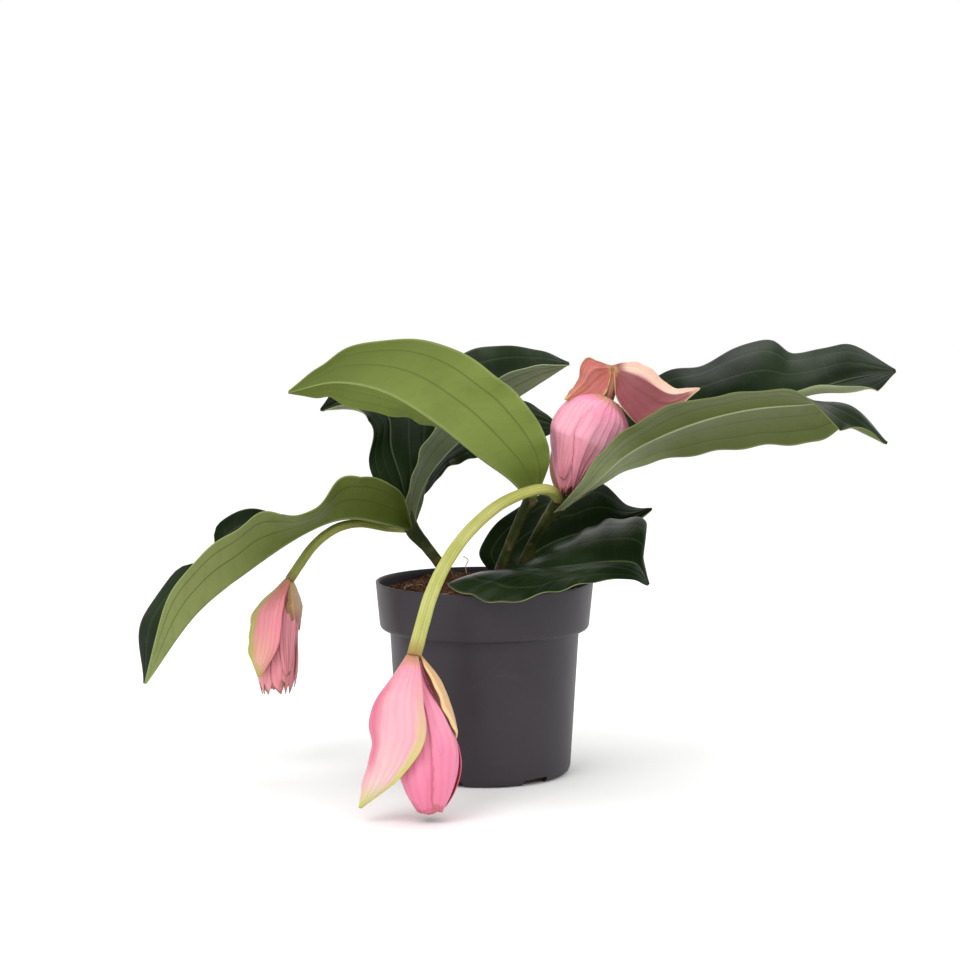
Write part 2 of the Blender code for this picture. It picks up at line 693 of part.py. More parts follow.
def make_soil():
    collar_low = POT_HEIGHT - POT_COLLAR_HEIGHT
    edge_share = (SOIL_EDGE_LEVEL - collar_low - 6.0 * MM) / (POT_COLLAR_HEIGHT - 8.0 * MM)
    outside = POT_COLLAR_BOTTOM_RADIUS + (POT_RIM_RADIUS - POT_COLLAR_BOTTOM_RADIUS) * edge_share
    edge = outside - POT_LIP - 1.4 * MM
    wall = [
        (POT_BASE_RADIUS - POT_CORNER - 1.0 * MM, POT_FLOOR + GAP),
        (POT_BASE_RADIUS - POT_WALL - 0.9 * MM, POT_CORNER + POT_FLOOR + 1.0 * MM),
        (POT_NECK_RADIUS - POT_WALL - 0.6 * MM, collar_low + 1.4 * MM),
        (POT_COLLAR_BOTTOM_RADIUS - POT_WALL - 1.2 * MM, collar_low + 7.0 * MM),
        (edge, SOIL_EDGE_LEVEL),
    ]
    rng = random.Random(SEED)
    points = [Vector((0, 0, POT_FLOOR + GAP))]
    rings = [[0]]
    for radius, z in wall:
        rings.append(list(range(len(points), len(points) + SOIL_SEGMENTS)))
        for k in range(SOIL_SEGMENTS):
            angle = math.tau * k / SOIL_SEGMENTS
            points.append(Vector((radius * math.cos(angle), radius * math.sin(angle), z)))
    for share in reversed(SOIL_RINGS):
        rings.append(list(range(len(points), len(points) + SOIL_SEGMENTS)))
        for k in range(SOIL_SEGMENTS):
            angle = math.tau * k / SOIL_SEGMENTS
            x = edge * share * math.cos(angle)
            y = edge * share * math.sin(angle)
            points.append(Vector((x, y, soil_level(x, y, rng))))
    rings.append([len(points)])
    points.append(Vector((0, 0, soil_level(0, 0, rng))))
    faces = []
    for low, high in zip(rings, rings[1:]):
        for k in range(SOIL_SEGMENTS):
            n = (k + 1) % SOIL_SEGMENTS
            if len(low) == 1:
                faces.append((low[0], high[n], high[k]))
            elif len(high) == 1:
                faces.append((low[k], low[n], high[0]))
            else:
                faces.append((low[k], low[n], high[n]))
                faces.append((low[k], high[n], high[k]))
    obj = add_object("soil", points, faces)
    face_outward(obj)
    boolean(obj, [stem_cutter(name) for name in STEMS], "DIFFERENCE")
    finish(obj, *COLOURS["soil"])


def main():
    clear_scene()
    make_pot()
    make_soil()
    make_stems()
    make_peduncles()
    make_leaves()
    make_outer_bracts()
    make_heads()


main()
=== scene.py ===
"""Looks of the potted medinilla: fine waved leaves with raised veins, ribbed bracts, stems, soil and pot."""

import json
import math
import random

import bmesh
import bpy
import numpy as np
from mathutils import Matrix, Vector

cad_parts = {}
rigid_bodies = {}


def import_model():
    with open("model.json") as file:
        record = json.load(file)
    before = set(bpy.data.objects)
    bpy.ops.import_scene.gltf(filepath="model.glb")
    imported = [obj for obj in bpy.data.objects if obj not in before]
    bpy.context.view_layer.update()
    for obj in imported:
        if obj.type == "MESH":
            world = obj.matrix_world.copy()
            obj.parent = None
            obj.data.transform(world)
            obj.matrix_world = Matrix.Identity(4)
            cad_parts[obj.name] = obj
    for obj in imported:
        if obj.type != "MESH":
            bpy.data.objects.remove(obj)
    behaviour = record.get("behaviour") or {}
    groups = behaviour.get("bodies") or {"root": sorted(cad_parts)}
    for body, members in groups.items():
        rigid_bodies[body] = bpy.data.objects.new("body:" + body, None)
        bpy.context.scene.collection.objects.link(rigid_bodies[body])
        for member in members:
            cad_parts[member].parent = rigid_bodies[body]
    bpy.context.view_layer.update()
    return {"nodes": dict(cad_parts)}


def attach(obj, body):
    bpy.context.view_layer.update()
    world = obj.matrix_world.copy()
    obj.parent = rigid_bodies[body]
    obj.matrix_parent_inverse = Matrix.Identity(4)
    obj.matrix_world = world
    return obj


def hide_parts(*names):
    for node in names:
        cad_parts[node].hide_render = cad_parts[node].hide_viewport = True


MM = 0.001
TAU = math.tau
SEED = 11
TINY = 1e-12

# Camera, from the photograph's perspective of the pot
CAMERA_PLACE = (-0.0035, -1.6163, 0.3675)
CAMERA_PITCH_DEG = 4.92
CAMERA_LENS_MM = 78.2
SENSOR_MM = 36
CAMERA_NEAR = 0.05

# Studio: area lights as name, place, size and power, all aimed at one point
LIGHTS = (
    ("key", (-0.9, -1.3, 1.7), 1, 14),
    ("fill", (1.5, -1, 1.1), 1.6, 3),
    ("top", (0.1, 0.5, 1.9), 1.2, 8),
)
LIGHT_TARGET = Vector((0, 0, 0.18))
SURROUND_STRENGTH = 1.02
FLOOR_WHITE = (0.985, 0.985, 0.985)
FLOOR_SIZE = 30

# Steps of t that give a tangent, along a midrib and along an axis
MIDRIB_STEP = 0.02
AXIS_STEP = 0.01

# Leaves: grid, thickness, relief and waves
LEAF_ROWS = 110
LEAF_COLUMNS = 26
LEAF_EDGE = 0.8 * MM
LEAF_THINNEST = 0.4
LEAF_BULGE = 0.07
LEAF_RUFFLE = 1.1 * MM
RUFFLE_COUNT = 2.7
RUFFLE_PHASE = 1.3
HALVES_PHASE = 0.37
LEAST_HALF_WIDTH = 0.7 * MM
VEIN_SHARES = (0.4, 0.74)
VEIN_WIDTH = 1.1 * MM
VEIN_GROOVE = 0.45 * MM
VEIN_RIDGE = 0.55 * MM
MIDRIB_WIDTH = 2 * MM
MIDRIB_GROOVE = 0.8 * VEIN_GROOVE
MIDRIB_RIDGE = 1.5 * MM
QUILT = 0.35 * MM
TIP_THINNING = 0.65
BASE_FADE = 0.04
TIP_FADE = 0.12

# Margins rolled up over the leaf: side (-1 left, 1 right), start and end along it, and the angle in degrees
ROLLED_MARGINS = {
    "leaf_right_back": ((1, 0.6, 0.9, 165),),
    "leaf_right_near": ((1, 0.84, 0.995, 130), (1, 0.1, 0.42, 40)),
    "leaf_low_back": ((1, 0.72, 0.99, 140),),
    "leaf_back_left": ((-1, 0.55, 0.96, 120),),
    "leaf_low_left": ((-1, 0.3, 0.58, 45), (1, 0.55, 0.75, 60)),
}
ROLL_START = 0.62
ROLL_EASE = 0.7
LEAST_ROLL = 1e-3

# Shallow bays in a margin: side, place along the leaf, half length and depth as shares
MARGIN_BAYS = {
    "leaf_low_left": ((1, 0.725, 0.02, 0.6), (-1, 0.47, 0.04, 0.1), (-1, 0.7, 0.04, 0.1)),
    "leaf_right_near": ((1, 0.36, 0.035, 0.1), (1, 0.56, 0.03, 0.12), (1, 0.74, 0.03, 0.1)),
    "leaf_right_back": ((-1, 0.3, 0.04, 0.08), (-1, 0.66, 0.035, 0.1)),
    "leaf_low_back": ((-1, 0.55, 0.05, 0.12),),
    "leaf_high_left": ((1, 0.84, 0.03, 0.2), (-1, 0.9, 0.03, 0.12)),
}

# Outer bracts
BRACT_ROWS = 70
BRACT_COLUMNS = 20
BRACT_EDGE = 0.8 * MM
BRACT_BULGE = -0.12
BRACT_WAVE = (1.2, 2, 0.2)
BRACT_RUFFLE = 0.5 * MM
BRACT_RIBS = 5
BRACT_RIB_HEIGHT = 0.18 * MM
BRACT_RIB_SHIFT = 0.3
RIB_FADE_START = 0.02

# Inner bracts of the closed heads
INNER_BRACTS = 4
INNER_ROWS = 70
INNER_COLUMNS = 18
INNER_THICKNESS = 0.7 * MM
INNER_TWIST = 1 * MM
INNER_KEEL = 0.3 * MM
INNER_RIBS = 3
INNER_RIB_HEIGHT = 0.4 * MM
INNER_RIB_END = 0.97
INNER_FOLD_HEIGHT = 0.3 * MM
INNER_FOLDS = (5, 6)
INNER_SWELL = 0.035
INNER_LEAN = 0.1
INNER_TIP_SPREAD = (0.8, 1.1)
INNER_TAPER_END = 1.02
INNER_NARROWEST = 0.02
SHORT_TAPER_START = 0.35
SHORT_TEETH = (1, 0.02)

# Stems and flower stalks: rings along them, sides, long ridges and their height, and the bark's unevenness
STEM_MESH = (90, 40, 4, 0.14, 0.15 * MM)
STALK_MESH = (140, 40, 4, 0.06, 0.08 * MM)
RIDGE_TURN = TAU / 8
BARK_ROUND = (7, 3)
BARK_ALONG = (23, 41)

# Leaves: midrib, left and right margin in millimetres, and the wave as height, count and phase
LEAVES = {
    "leaf_high_left": (
        [(37, 4, 210), (21, -6, 229), (-4, -16, 248), (-38, -34, 276), (-75, -50, 299), (-111, -65, 307),
         (-145, -76, 300)],
        [(40, 2, 213), (50, -14, 244), (43, -28, 271), (15, -46, 306), (-33, -64, 335), (-98, -76, 334),
         (-145, -76, 301)],
        [(34, 6, 213), (11, 34, 241), (-18, 44, 263), (-46, 12, 271), (-74, -22, 280), (-116, -50, 292),
         (-145, -76, 299)],
        (1.5, 3, 0.1),
    ),
    "leaf_low_left": (
        [(-57, 36, 185), (-73, 22, 191), (-107, 8, 198), (-138, -8, 189), (-179, -26, 163), (-220, -46, 130),
         (-255, -66, 80)],
        [(-57, 32, 187), (-68, 6, 221), (-103, -22, 231), (-134, -44, 204), (-176, -64, 206),
         (-230, -76, 157), (-256, -66, 81)],
        [(-57, 40, 183), (-74, 54, 198), (-112, 56, 203), (-145, 38, 192), (-201, 12, 196), (-262, -18, 126),
         (-257, -64, 80)],
        (1.5, 3, 0.4),
    ),
    "leaf_back_left": (
        [(-63, 42, 209), (-67, 46, 226), (-75, 54, 250), (-77, 62, 272), (-88, 66, 286), (-112, 66, 287),
         (-132, 60, 280)],
        [(-66, 42, 210), (-85, 39, 221), (-92, 44, 240), (-90, 50, 267), (-106, 52, 276), (-122, 54, 277),
         (-132, 60, 279)],
        [(-60, 43, 211), (-49, 54, 235), (-41, 69, 256), (-45, 84, 288), (-73, 88, 306), (-113, 78, 302),
         (-132, 60, 281)],
        (1.5, 2, 0.3),
    ),
    "leaf_back_centre": (
        [(-57, 36, 187), (-55, 40, 203), (-46, 50, 226), (-24, 62, 251), (11, 66, 279), (43, 60, 301),
         (68, 52, 317)],
        [(-55, 40, 189), (-46, 66, 219), (-40, 92, 253), (-32, 106, 310), (1, 102, 330), (44, 80, 327),
         (68, 54, 318)],
        [(-59, 33, 188), (-62, 30, 211), (-53, 32, 240), (-37, 38, 268), (0, 46, 298), (36, 48, 315),
         (68, 51, 316)],
        (1.5, 3, 0.7),
    ),
    "leaf_back_low": (
        [(-62, 41, 204), (-47, 82, 222), (-30, 98, 244), (-7, 114, 259), (19, 128, 267), (45, 138, 267),
         (65, 142, 260)],
        [(-62, 44, 206), (-56, 98, 238), (-38, 124, 264), (-14, 142, 281), (17, 152, 286), (44, 152, 278),
         (65, 143, 260)],
        [(-60, 42, 202), (-43, 72, 216), (-26, 78, 234), (-4, 90, 240), (22, 106, 246), (46, 124, 252),
         (65, 141, 259)],
        (1.5, 3, 0.2),
    ),
    "leaf_right_near": (
        [(56, 2, 202), (81, -24, 226), (110, -28, 252), (149, -32, 271), (192, -38, 284), (234, -42, 289),
         (275, -44, 289), (305, -40, 260)],
        [(58, 5, 203), (91, -4, 226), (129, 12, 240), (174, 20, 249), (219, 16, 253), (257, 6, 258),
         (282, -16, 272), (305, -39, 261)],
        [(54, -2, 203), (73, -38, 228), (95, -52, 259), (128, -66, 284), (177, -74, 299), (231, -76, 300),
         (268, -74, 267), (304, -41, 259)],
        (1.2, 3, 0.5),
    ),
    "leaf_right_back": (
        [(57, 3, 204), (92, 44, 234), (132, 50, 263), (177, 52, 282), (217, 54, 288), (255, 52, 294),
         (291, 44, 305), (325, 32, 312)],
        [(55, 5, 206), (92, 72, 252), (131, 90, 304), (177, 100, 313), (227, 104, 336), (263, 94, 325),
         (295, 72, 332), (325, 33, 313)],
        [(60, 2, 204), (102, 34, 228), (141, 34, 252), (178, 36, 266), (219, 32, 277), (262, 20, 290),
         (300, 16, 292), (325, 31, 311)],
        (1.2, 3, 0),
    ),
    "leaf_low_back": (
        [(30, 18, 157), (36, 36, 163), (51, 44, 172), (70, 48, 179), (93, 50, 185), (115, 48, 193),
         (134, 42, 202)],
        [(6, 44, 149), (-4, 54, 166), (13, 66, 189), (52, 80, 212), (93, 84, 219), (117, 68, 201),
         (134, 43, 202)],
        [(32, 17, 157), (44, 28, 157), (60, 26, 164), (79, 26, 170), (100, 30, 176), (119, 36, 186),
         (134, 41, 201)],
        (1.2, 2, 0.5),
    ),
    "leaf_low_front": (
        [(12, 10, 156), (32, -34, 161), (51, -48, 165), (71, -56, 168), (91, -60, 171), (110, -62, 171),
         (118, -62, 165), (123, -60, 154)],
        [(15, 9, 158), (36, 0, 165), (56, 8, 176), (80, 12, 189), (101, 8, 196), (125, -10, 198),
         (119, -38, 177), (124, -58, 155)],
        [(9, 8, 156), (-27, -66, 156), (-11, -92, 152), (13, -104, 146), (48, -106, 156), (77, -100, 161),
         (106, -84, 162), (122, -62, 154)],
        (1, 3, 0.6),
    ),
}

# Outer bracts: midrib, left and right margin in millimetres
OUTER_BRACTS = {
    "outer_bract_front_left": (
        [(-50, -160, 119), (-59, -179, 90), (-61, -187, 62), (-70, -183, 36), (-88, -171, 11)],
        [(-55, -157, 118), (-79, -162, 81), (-81, -165, 53), (-86, -168, 28), (-89, -170, 11)],
        [(-47, -162, 118), (-43, -175, 89), (-42, -186, 62), (-60, -185, 35), (-87, -171, 11)],
    ),
    "outer_bract_front_right": (
        [(-47, -155, 119), (-31, -143, 95), (-25, -141, 69), (-23, -144, 46)],
        [(-46, -159, 118), (-34, -162, 91), (-22, -163, 66), (-23, -147, 46)],
        [(-50, -152, 119), (-53, -134, 94), (-46, -126, 67), (-26, -142, 46)],
    ),
    "outer_bract_left_left": (
        [(-152, -14, 153), (-166, -29, 129), (-170, -34, 104), (-174, -30, 79)],
        [(-155, -11, 152), (-179, -14, 126), (-183, -17, 101), (-175, -28, 79)],
        [(-150, -16, 152), (-155, -32, 131), (-157, -37, 106), (-172, -31, 79)],
    ),
    "outer_bract_left_right": (
        [(-150, -11, 152), (-145, -13, 133), (-145, -10, 112)],
        [(-152, -15, 152), (-152, -25, 132), (-148, -17, 112)],
        [(-150, -7, 152), (-146, 8, 131), (-145, -2, 112)],
    ),
    "outer_bract_top_right": (
        [(101, 14, 314), (122, 6, 307), (144, 0, 295), (166, -4, 299)],
        [(100, 18, 317), (122, 24, 319), (145, 18, 301), (167, -3, 300)],
        [(101, 10, 311), (104, -5, 288), (128, -12, 271), (166, -5, 299)],
    ),
    "outer_bract_top_left": (
        [(99, 15, 315), (84, 8, 314), (76, 2, 303), (63, 0, 291)],
        [(99, 11, 311), (94, 4, 295), (81, 2, 288), (64, 2, 290)],
        [(98, 19, 317), (79, 16, 322), (71, 10, 303), (62, 2, 291)],
    ),
}

# Heads: axis, radii along it, first bract's angle, half span, start of the taper, end teeth (count, depth)
HEADS = {
    "front": ([(-50, -160, 113), (-47, -156, 94), (-41, -160, 69), (-39, -164, 41), (-39, -166, 6)],
              [3.6, 4.3, 5.6, 8.2, 12, 16.4, 20.2, 20.6, 16.4, 8], 5, 76, 0.93, (1, 0.015)),
    "left": ([(-153, -14, 147), (-156, -12, 128), (-159, -12, 105), (-161, -13, 81), (-161, -14, 60)],
             [3, 6, 9.2, 11.6, 13.4, 14.4, 14.6, 14, 12.6, 10.6], 50, 62, 0.86, (3, 0.15)),
    "top": ([(97, 9, 291), (86, 8, 272), (78, 6, 254), (70, 0, 236), (64, -4, 216)],
            [6, 21, 26, 27.6, 28, 26.2, 21.8, 15.8, 9.8, 5], 35, 66, 0.72, (3, 0.045)),
}

# Short outer bracts on the heads: angle, half span, share of the head's length, and millimetres further out
SHORT_BRACTS = {
    "front": (),
    "left": ((60, 34, 0.78, 1.7), (128, 30, 0.7, 1.8)),
    "top": ((68, 46, 0.95, 2.4), (132, 40, 0.88, 1.9), (355, 38, 0.85, 2)),
}

# Stems and flower stalks: points along the middle, and radii, in millimetres
STEMS = {
    "stem_left": (
        [(-23, 30, 133), (-31, 30, 152), (-45, 32, 171), (-57, 36, 185), (-61, 40, 199), (-63, 42, 211)],
        [5, 4.8, 4.6, 6.2, 4.6, 5.2],
    ),
    "stem_right_a": (
        [(8, 10, 133), (11, 10, 151), (20, 8, 177), (29, 6, 199), (37, 4, 214)],
        [4.8, 5.2, 4.4, 4.6, 6],
    ),
    "stem_right_b": (
        [(22, 22, 133), (27, 20, 151), (36, 14, 172), (47, 6, 193), (56, 3, 206), (61, 3, 217)],
        [4.8, 5, 4.8, 5.2, 6.8, 5.6],
    ),
}
PEDUNCLES = {
    "peduncle_front": (
        [(59, 2, 212), (50, -20, 222), (35, -36, 223), (11, -62, 215), (-11, -92, 199), (-27, -118, 180),
         (-38, -138, 159), (-44, -150, 140), (-50, -160, 118)],
        [4, 4.2, 4.4, 4.5, 4.5, 4.6, 4.8, 4.8, 5],
    ),
    "peduncle_left": (
        [(-57, 36, 186), (-77, 45, 186), (-98, 32, 191), (-113, 19, 190), (-125, 10, 184), (-135, 2, 175),
         (-143, -6, 164), (-151, -13, 152)],
        [3.2, 3.3, 3.4, 3.5, 3.5, 3.5, 3.5, 3.6],
    ),
    "peduncle_top": (
        [(61, 4, 214), (55, 34, 236), (62, 56, 264), (74, 54, 292), (87, 40, 308), (98, 24, 313),
         (101, 13, 306), (96, 9, 290)],
        [3.6, 3.6, 3.6, 3.6, 3.6, 3.9, 4, 4.4],
    ),
}

# Pot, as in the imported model
POT_HEIGHT = 149.8 * MM
POT_RIM_RADIUS = 85 * MM
POT_COLLAR_BOTTOM_RADIUS = 81.7 * MM
POT_COLLAR_HEIGHT = 37.3 * MM
POT_NECK_RADIUS = 73.9 * MM
POT_BASE_RADIUS = 68.3 * MM
POT_WALL = 1.5 * MM
POT_LIP = 2.4 * MM
POT_FLOOR = 2 * MM
POT_SEGMENTS = 160
POT_SHARP_DEG = 50
CORNER_STEPS = 5
MOST_ROUNDING = 0.49
NOTCH_COUNT = 6
NOTCH_WIDTH = 22 * MM
NOTCH_HEIGHT = 5 * MM
NOTCH_DEPTH = 18 * MM
NOTCH_CORNER = 1.5 * MM
NOTCH_CORNER_STEPS = 3
NOTCH_FIRST_ANGLE = -54

# Soil: surface, crumbs and stray roots
SOIL_EDGE_LEVEL = 141.5 * MM
SOIL_MOUND = 8 * MM
SOIL_MOUND_CENTRE = (-22 * MM, 42 * MM)
SOIL_MOUND_SPREAD = 22 * MM
SOIL_RADIUS = 80.3 * MM
SOIL_SKIRT = 6 * MM
SOIL_RINGS = 60
SOIL_SIDES = 180
LUMPS = 700
LUMP_REACH_MM = 80
LUMP_SIZES_MM = (1.5, 5.5)
LUMP_HEIGHT = 1 * MM
CRUMBS = 900
CRUMB_CLEARANCE = 3 * MM
CRUMB_SIZES_MM = (0.6, 2.2)
CRUMB_STRETCH = ((0.7, 1.6), (0.6, 1.1), (0.4, 0.9))
CRUMB_ROUGHNESS = (0.75, 1.2)
CRUMB_LIFT = 0.2
FIBRES = 26
FIBRE_CLEARANCE = 12 * MM
FIBRE_POINTS = 5
FIBRE_STEP_MM = 3.2
FIBRE_BEND = 0.7
FIBRE_RADIUS_MM = 0.32
FIBRE_LIFT_MM = 0.6
FIBRE_ARCH_MM = 2.2
FIBRE_REACH_MM = 74
FIBRE_MESH = (14, 6)
STRAY_ROOT = [(-14, 40, 149), (-15, 44, 155), (-13, 46, 160), (-17, 47, 163)]
STRAY_ROOT_RADIUS_MM = 0.35
STRAY_ROOT_MESH = (16, 6)

# Undersides: colour near the base, in the middle, near the tip, and of the midrib
# The two low leaves, under the others, get a darker copy of the underside colours: painted shade on their
# undersides and rims
SHADED_UNDERSIDE = ((0.1, 0.12, 0.055), (0.12, 0.145, 0.07), (0.13, 0.155, 0.075), (0.2, 0.22, 0.13))
UNDERSIDES = {
    "leaf_high_left": ((0.12, 0.16, 0.026), (0.205, 0.268, 0.06), (0.118, 0.156, 0.032),
                       (0.3, 0.37, 0.12)),
    "leaf_low_left": ((0.04, 0.062, 0.005), (0.112, 0.146, 0.03), (0.25, 0.305, 0.105),
                      (0.25, 0.3, 0.11)),
    "leaf_right_near": ((0.28, 0.32, 0.16), (0.084, 0.104, 0.022), (0.098, 0.124, 0.026),
                        (0.4, 0.44, 0.27)),
    "leaf_back_centre": ((0.1, 0.12, 0.055), (0.15, 0.185, 0.095), (0.28, 0.36, 0.205),
                         (0.24, 0.28, 0.15)),
    "leaf_low_front": SHADED_UNDERSIDE,
    "leaf_low_back": SHADED_UNDERSIDE,
    "other": ((0.14, 0.165, 0.075), (0.215, 0.245, 0.13), (0.23, 0.265, 0.14), (0.33, 0.36, 0.22)),
}

# Fine patterns of the materials: how many lines there are across or along, and how far they stray
CROSS_VEINS = 26
CROSS_VEIN_BOW = 0.05
CROSS_VEIN_WANDER = 0.11
BRACT_LINES = 8
# Number of dark lines round a flower stalk: painted shade of its grooves
STALK_GROOVE_SHADE_LINES = 2
STALK_STREAKS = 6
ALONG_STALK = (1, 1, 0.3)
ALONG_STEM = (1, 1, 0.35)
AROUND_POT = (1, 1, 3)

# Tones of a bract's middle tint for its blushing margins and its ribs, and the colours of its spots and foot
BLUSH = (0.95, 0.72, 0.8)
DEEP_PINK = (0.84, 0.55, 0.62)
BRACT_SPOTS = (0.52, 0.26, 0.19)
BRACT_FOOT = (0.48, 0.25, 0.09)

# Bract looks: tints near the base, in the middle and at the end, the rim's colour and width, and where the
# tip's colour starts. Some also say how strong the ribs' lines are, which margin has the rim, how far along
# the rim is full, and the deeper tint of a left margin that turns away
GREEN_RIM = (0.56, 0.6, 0.13)
INNER_LOOK = dict(rim_width=0.05, tip_start=0.955, line_depth=0.3, rim_full=0.98)
BRACT_LOOKS = {
    "bract_pale_outside": dict(
        tints=((0.76, 0.27, 0.34), (0.79, 0.4, 0.46), (0.72, 0.54, 0.49)),
        rim=GREEN_RIM, rim_width=0.26, tip_start=0.76,
        line_depth=0.16, rim_side="right", rim_full=0.8, fold=(0.64, 0.13, 0.225)),
    "bract_cream_outside": dict(
        tints=((0.7, 0.43, 0.17), (0.76, 0.52, 0.27), (0.74, 0.47, 0.3)),
        rim=(0.78, 0.6, 0.28), rim_width=0.18, tip_start=0.86),
    "bract_brown_inside": dict(
        tints=((0.21, 0.06, 0.035), (0.25, 0.07, 0.05), (0.3, 0.1, 0.07)),
        rim=(0.86, 0.68, 0.44), rim_width=0.06, tip_start=0.94),
    "bract_dusty_inside": dict(
        tints=((0.23, 0.05, 0.035), (0.3, 0.065, 0.062), (0.42, 0.13, 0.1)),
        rim=GREEN_RIM, rim_width=0.1, tip_start=0.84),
    "bract_folded_inside": dict(
        tints=((0.23, 0.05, 0.04), (0.27, 0.062, 0.07), (0.33, 0.1, 0.09)),
        rim=(0.83, 0.55, 0.42), rim_width=0.5, tip_start=0.84, rim_side="left", rim_full=0.2),
    "bract_rosy_inside": dict(
        tints=((0.42, 0.1, 0.07), (0.52, 0.16, 0.13), (0.6, 0.26, 0.16)),
        rim=(0.6, 0.5, 0.14), rim_width=0.06, tip_start=0.88),
    "bract_blush_outside": dict(
        tints=((0.7, 0.26, 0.2), (0.86, 0.48, 0.38), (0.8, 0.6, 0.38)),
        rim=(0.62, 0.56, 0.22), rim_width=0.09, tip_start=0.84),
    "bract_olive_rim": dict(
        tints=((0.56, 0.19, 0.14), (0.78, 0.28, 0.33), (0.72, 0.38, 0.28)),
        rim=(0.4, 0.4, 0.045), rim_width=0.4, tip_start=0.84, rim_side="left"),
    "bract_drying": dict(
        tints=((0.46, 0.34, 0.11), (0.56, 0.36, 0.19), (0.42, 0.11, 0.09)),
        rim=(0.25, 0.16, 0.05), rim_width=0.3, tip_start=0.9),
    "inner_bract_front": dict(
        tints=((0.8, 0.2, 0.32), (0.84, 0.3, 0.42), (0.8, 0.21, 0.35)),
        rim=(0.56, 0.14, 0.18), **INNER_LOOK),
    "inner_bract_left": dict(
        tints=((0.74, 0.23, 0.28), (0.78, 0.3, 0.35), (0.74, 0.28, 0.31)),
        rim=(0.3, 0.15, 0.08), **INNER_LOOK),
    "inner_bract_top": dict(
        tints=((0.84, 0.25, 0.4), (0.86, 0.39, 0.48), (0.62, 0.2, 0.25)),
        rim=(0.38, 0.11, 0.11), **INNER_LOOK),
    "flower_bud": dict(
        tints=((0.7, 0.2, 0.25), (0.78, 0.26, 0.33), (0.8, 0.4, 0.42)),
        rim=(0.7, 0.5, 0.4), rim_width=0.08, tip_start=0.95),
}

# Inner and outer face of each outer bract
BRACT_SIDES = {
    "outer_bract_front_left": ("bract_pale_outside", "bract_pale_outside"),
    "outer_bract_front_right": ("bract_brown_inside", "bract_cream_outside"),
    "outer_bract_left_left": ("bract_dusty_inside", "bract_olive_rim"),
    "outer_bract_left_right": ("bract_drying", "bract_drying"),
    "outer_bract_top_right": ("bract_folded_inside", "bract_blush_outside"),
    "outer_bract_top_left": ("bract_rosy_inside", "bract_blush_outside"),
}

# Flower stalks: name of the colour, its pale and deep tints, and its brown
STALK_LOOKS = {
    "peduncle_front": ("peduncle_fresh", (0.54, 0.54, 0.17), (0.44, 0.45, 0.1), (0.3, 0.15, 0.04)),
    "peduncle_left": ("peduncle_olive", (0.34, 0.36, 0.08), (0.27, 0.3, 0.065), (0.22, 0.13, 0.05)),
    "peduncle_top": ("peduncle_red", (0.36, 0.11, 0.065), (0.42, 0.17, 0.085), (0.22, 0.065, 0.04)),
}


# Curves and meshes

def spline(points, t):
    """Points at each t (0 to 1) on a smooth curve through evenly numbered points."""
    points = np.asarray(points, float)
    if points.ndim == 1:
        points = points[:, None]
    t = np.atleast_1d(np.asarray(t, float))
    last = len(points) - 1
    padded = np.vstack([2 * points[0] - points[1], points, 2 * points[-1] - points[-2]])
    place = np.clip(t, 0, 1) * last
    i = np.minimum(place.astype(int), last - 1)
    u = (place - i)[:, None]
    a, b, c, d = padded[i], padded[i + 1], padded[i + 2], padded[i + 3]
    return b + ((c - a) + ((2 * a - 5 * b + 4 * c - d) + (3 * b - a - 3 * c + d) * u) * u) * (u * 0.5)


def unit(vectors):
    length = np.linalg.norm(vectors, axis=-1, keepdims=True)
    return vectors / np.maximum(length, TINY)


def grid_normals(grid):
    along = np.gradient(grid, axis=0)
    leftward = -np.gradient(grid, axis=1)
    return unit(np.cross(along, leftward))


def new_object(name, points, faces):
    if isinstance(faces, np.ndarray):
        faces = faces.tolist()
    mesh = bpy.data.meshes.new(name)
    mesh.from_pydata(np.asarray(points).tolist(), [], faces)
    mesh.validate()
    obj = bpy.data.objects.new(name, mesh)
    bpy.context.scene.collection.objects.link(obj)
    return obj


def finished(shape, name, collection=None):
    """Object made of a bmesh shape, in the scene or in the collection."""
    mesh = bpy.data.meshes.new(name)
    shape.to_mesh(mesh)
    shape.free()
    obj = bpy.data.objects.new(name, mesh)
    (collection or bpy.context.scene.collection).objects.link(obj)
    return obj


def ring_faces(rings, sides):
    """Quads between neighbouring rings of points, given as each ring's first index."""
    faces = []
    for low, high in zip(rings, rings[1:]):
        for k in range(sides):
            n = (k + 1) % sides
            faces.append((low + k, low + n, high + n, high + k))
    return faces


def fan(centre, ring, sides):
    """Triangles from a centre point to the ring that starts at this index."""
    return [(centre, ring + k, ring + (k + 1) % sides) for k in range(sides)]


def shade_smooth(obj):
    obj.data.polygons.foreach_set("use_smooth", [True] * len(obj.data.polygons))


def add_uv(obj, uv):
    layer = obj.data.uv_layers.new(name="along")
    corner = np.empty(len(obj.data.loops), np.int32)
    obj.data.loops.foreach_get("vertex_index", corner)
    layer.data.foreach_set("uv", uv[corner].ravel())


def join(objects, name):
    """One object from several, with the first one's materials."""
    shape = bmesh.new()
    for obj in objects:
        shape.from_mesh(obj.data)
    joined = finished(shape, name)
    for found in objects[0].data.materials:
        joined.data.materials.append(found)
    for obj in objects:
        bpy.data.objects.remove(obj, do_unlink=True)
    shade_smooth(joined)
    return joined


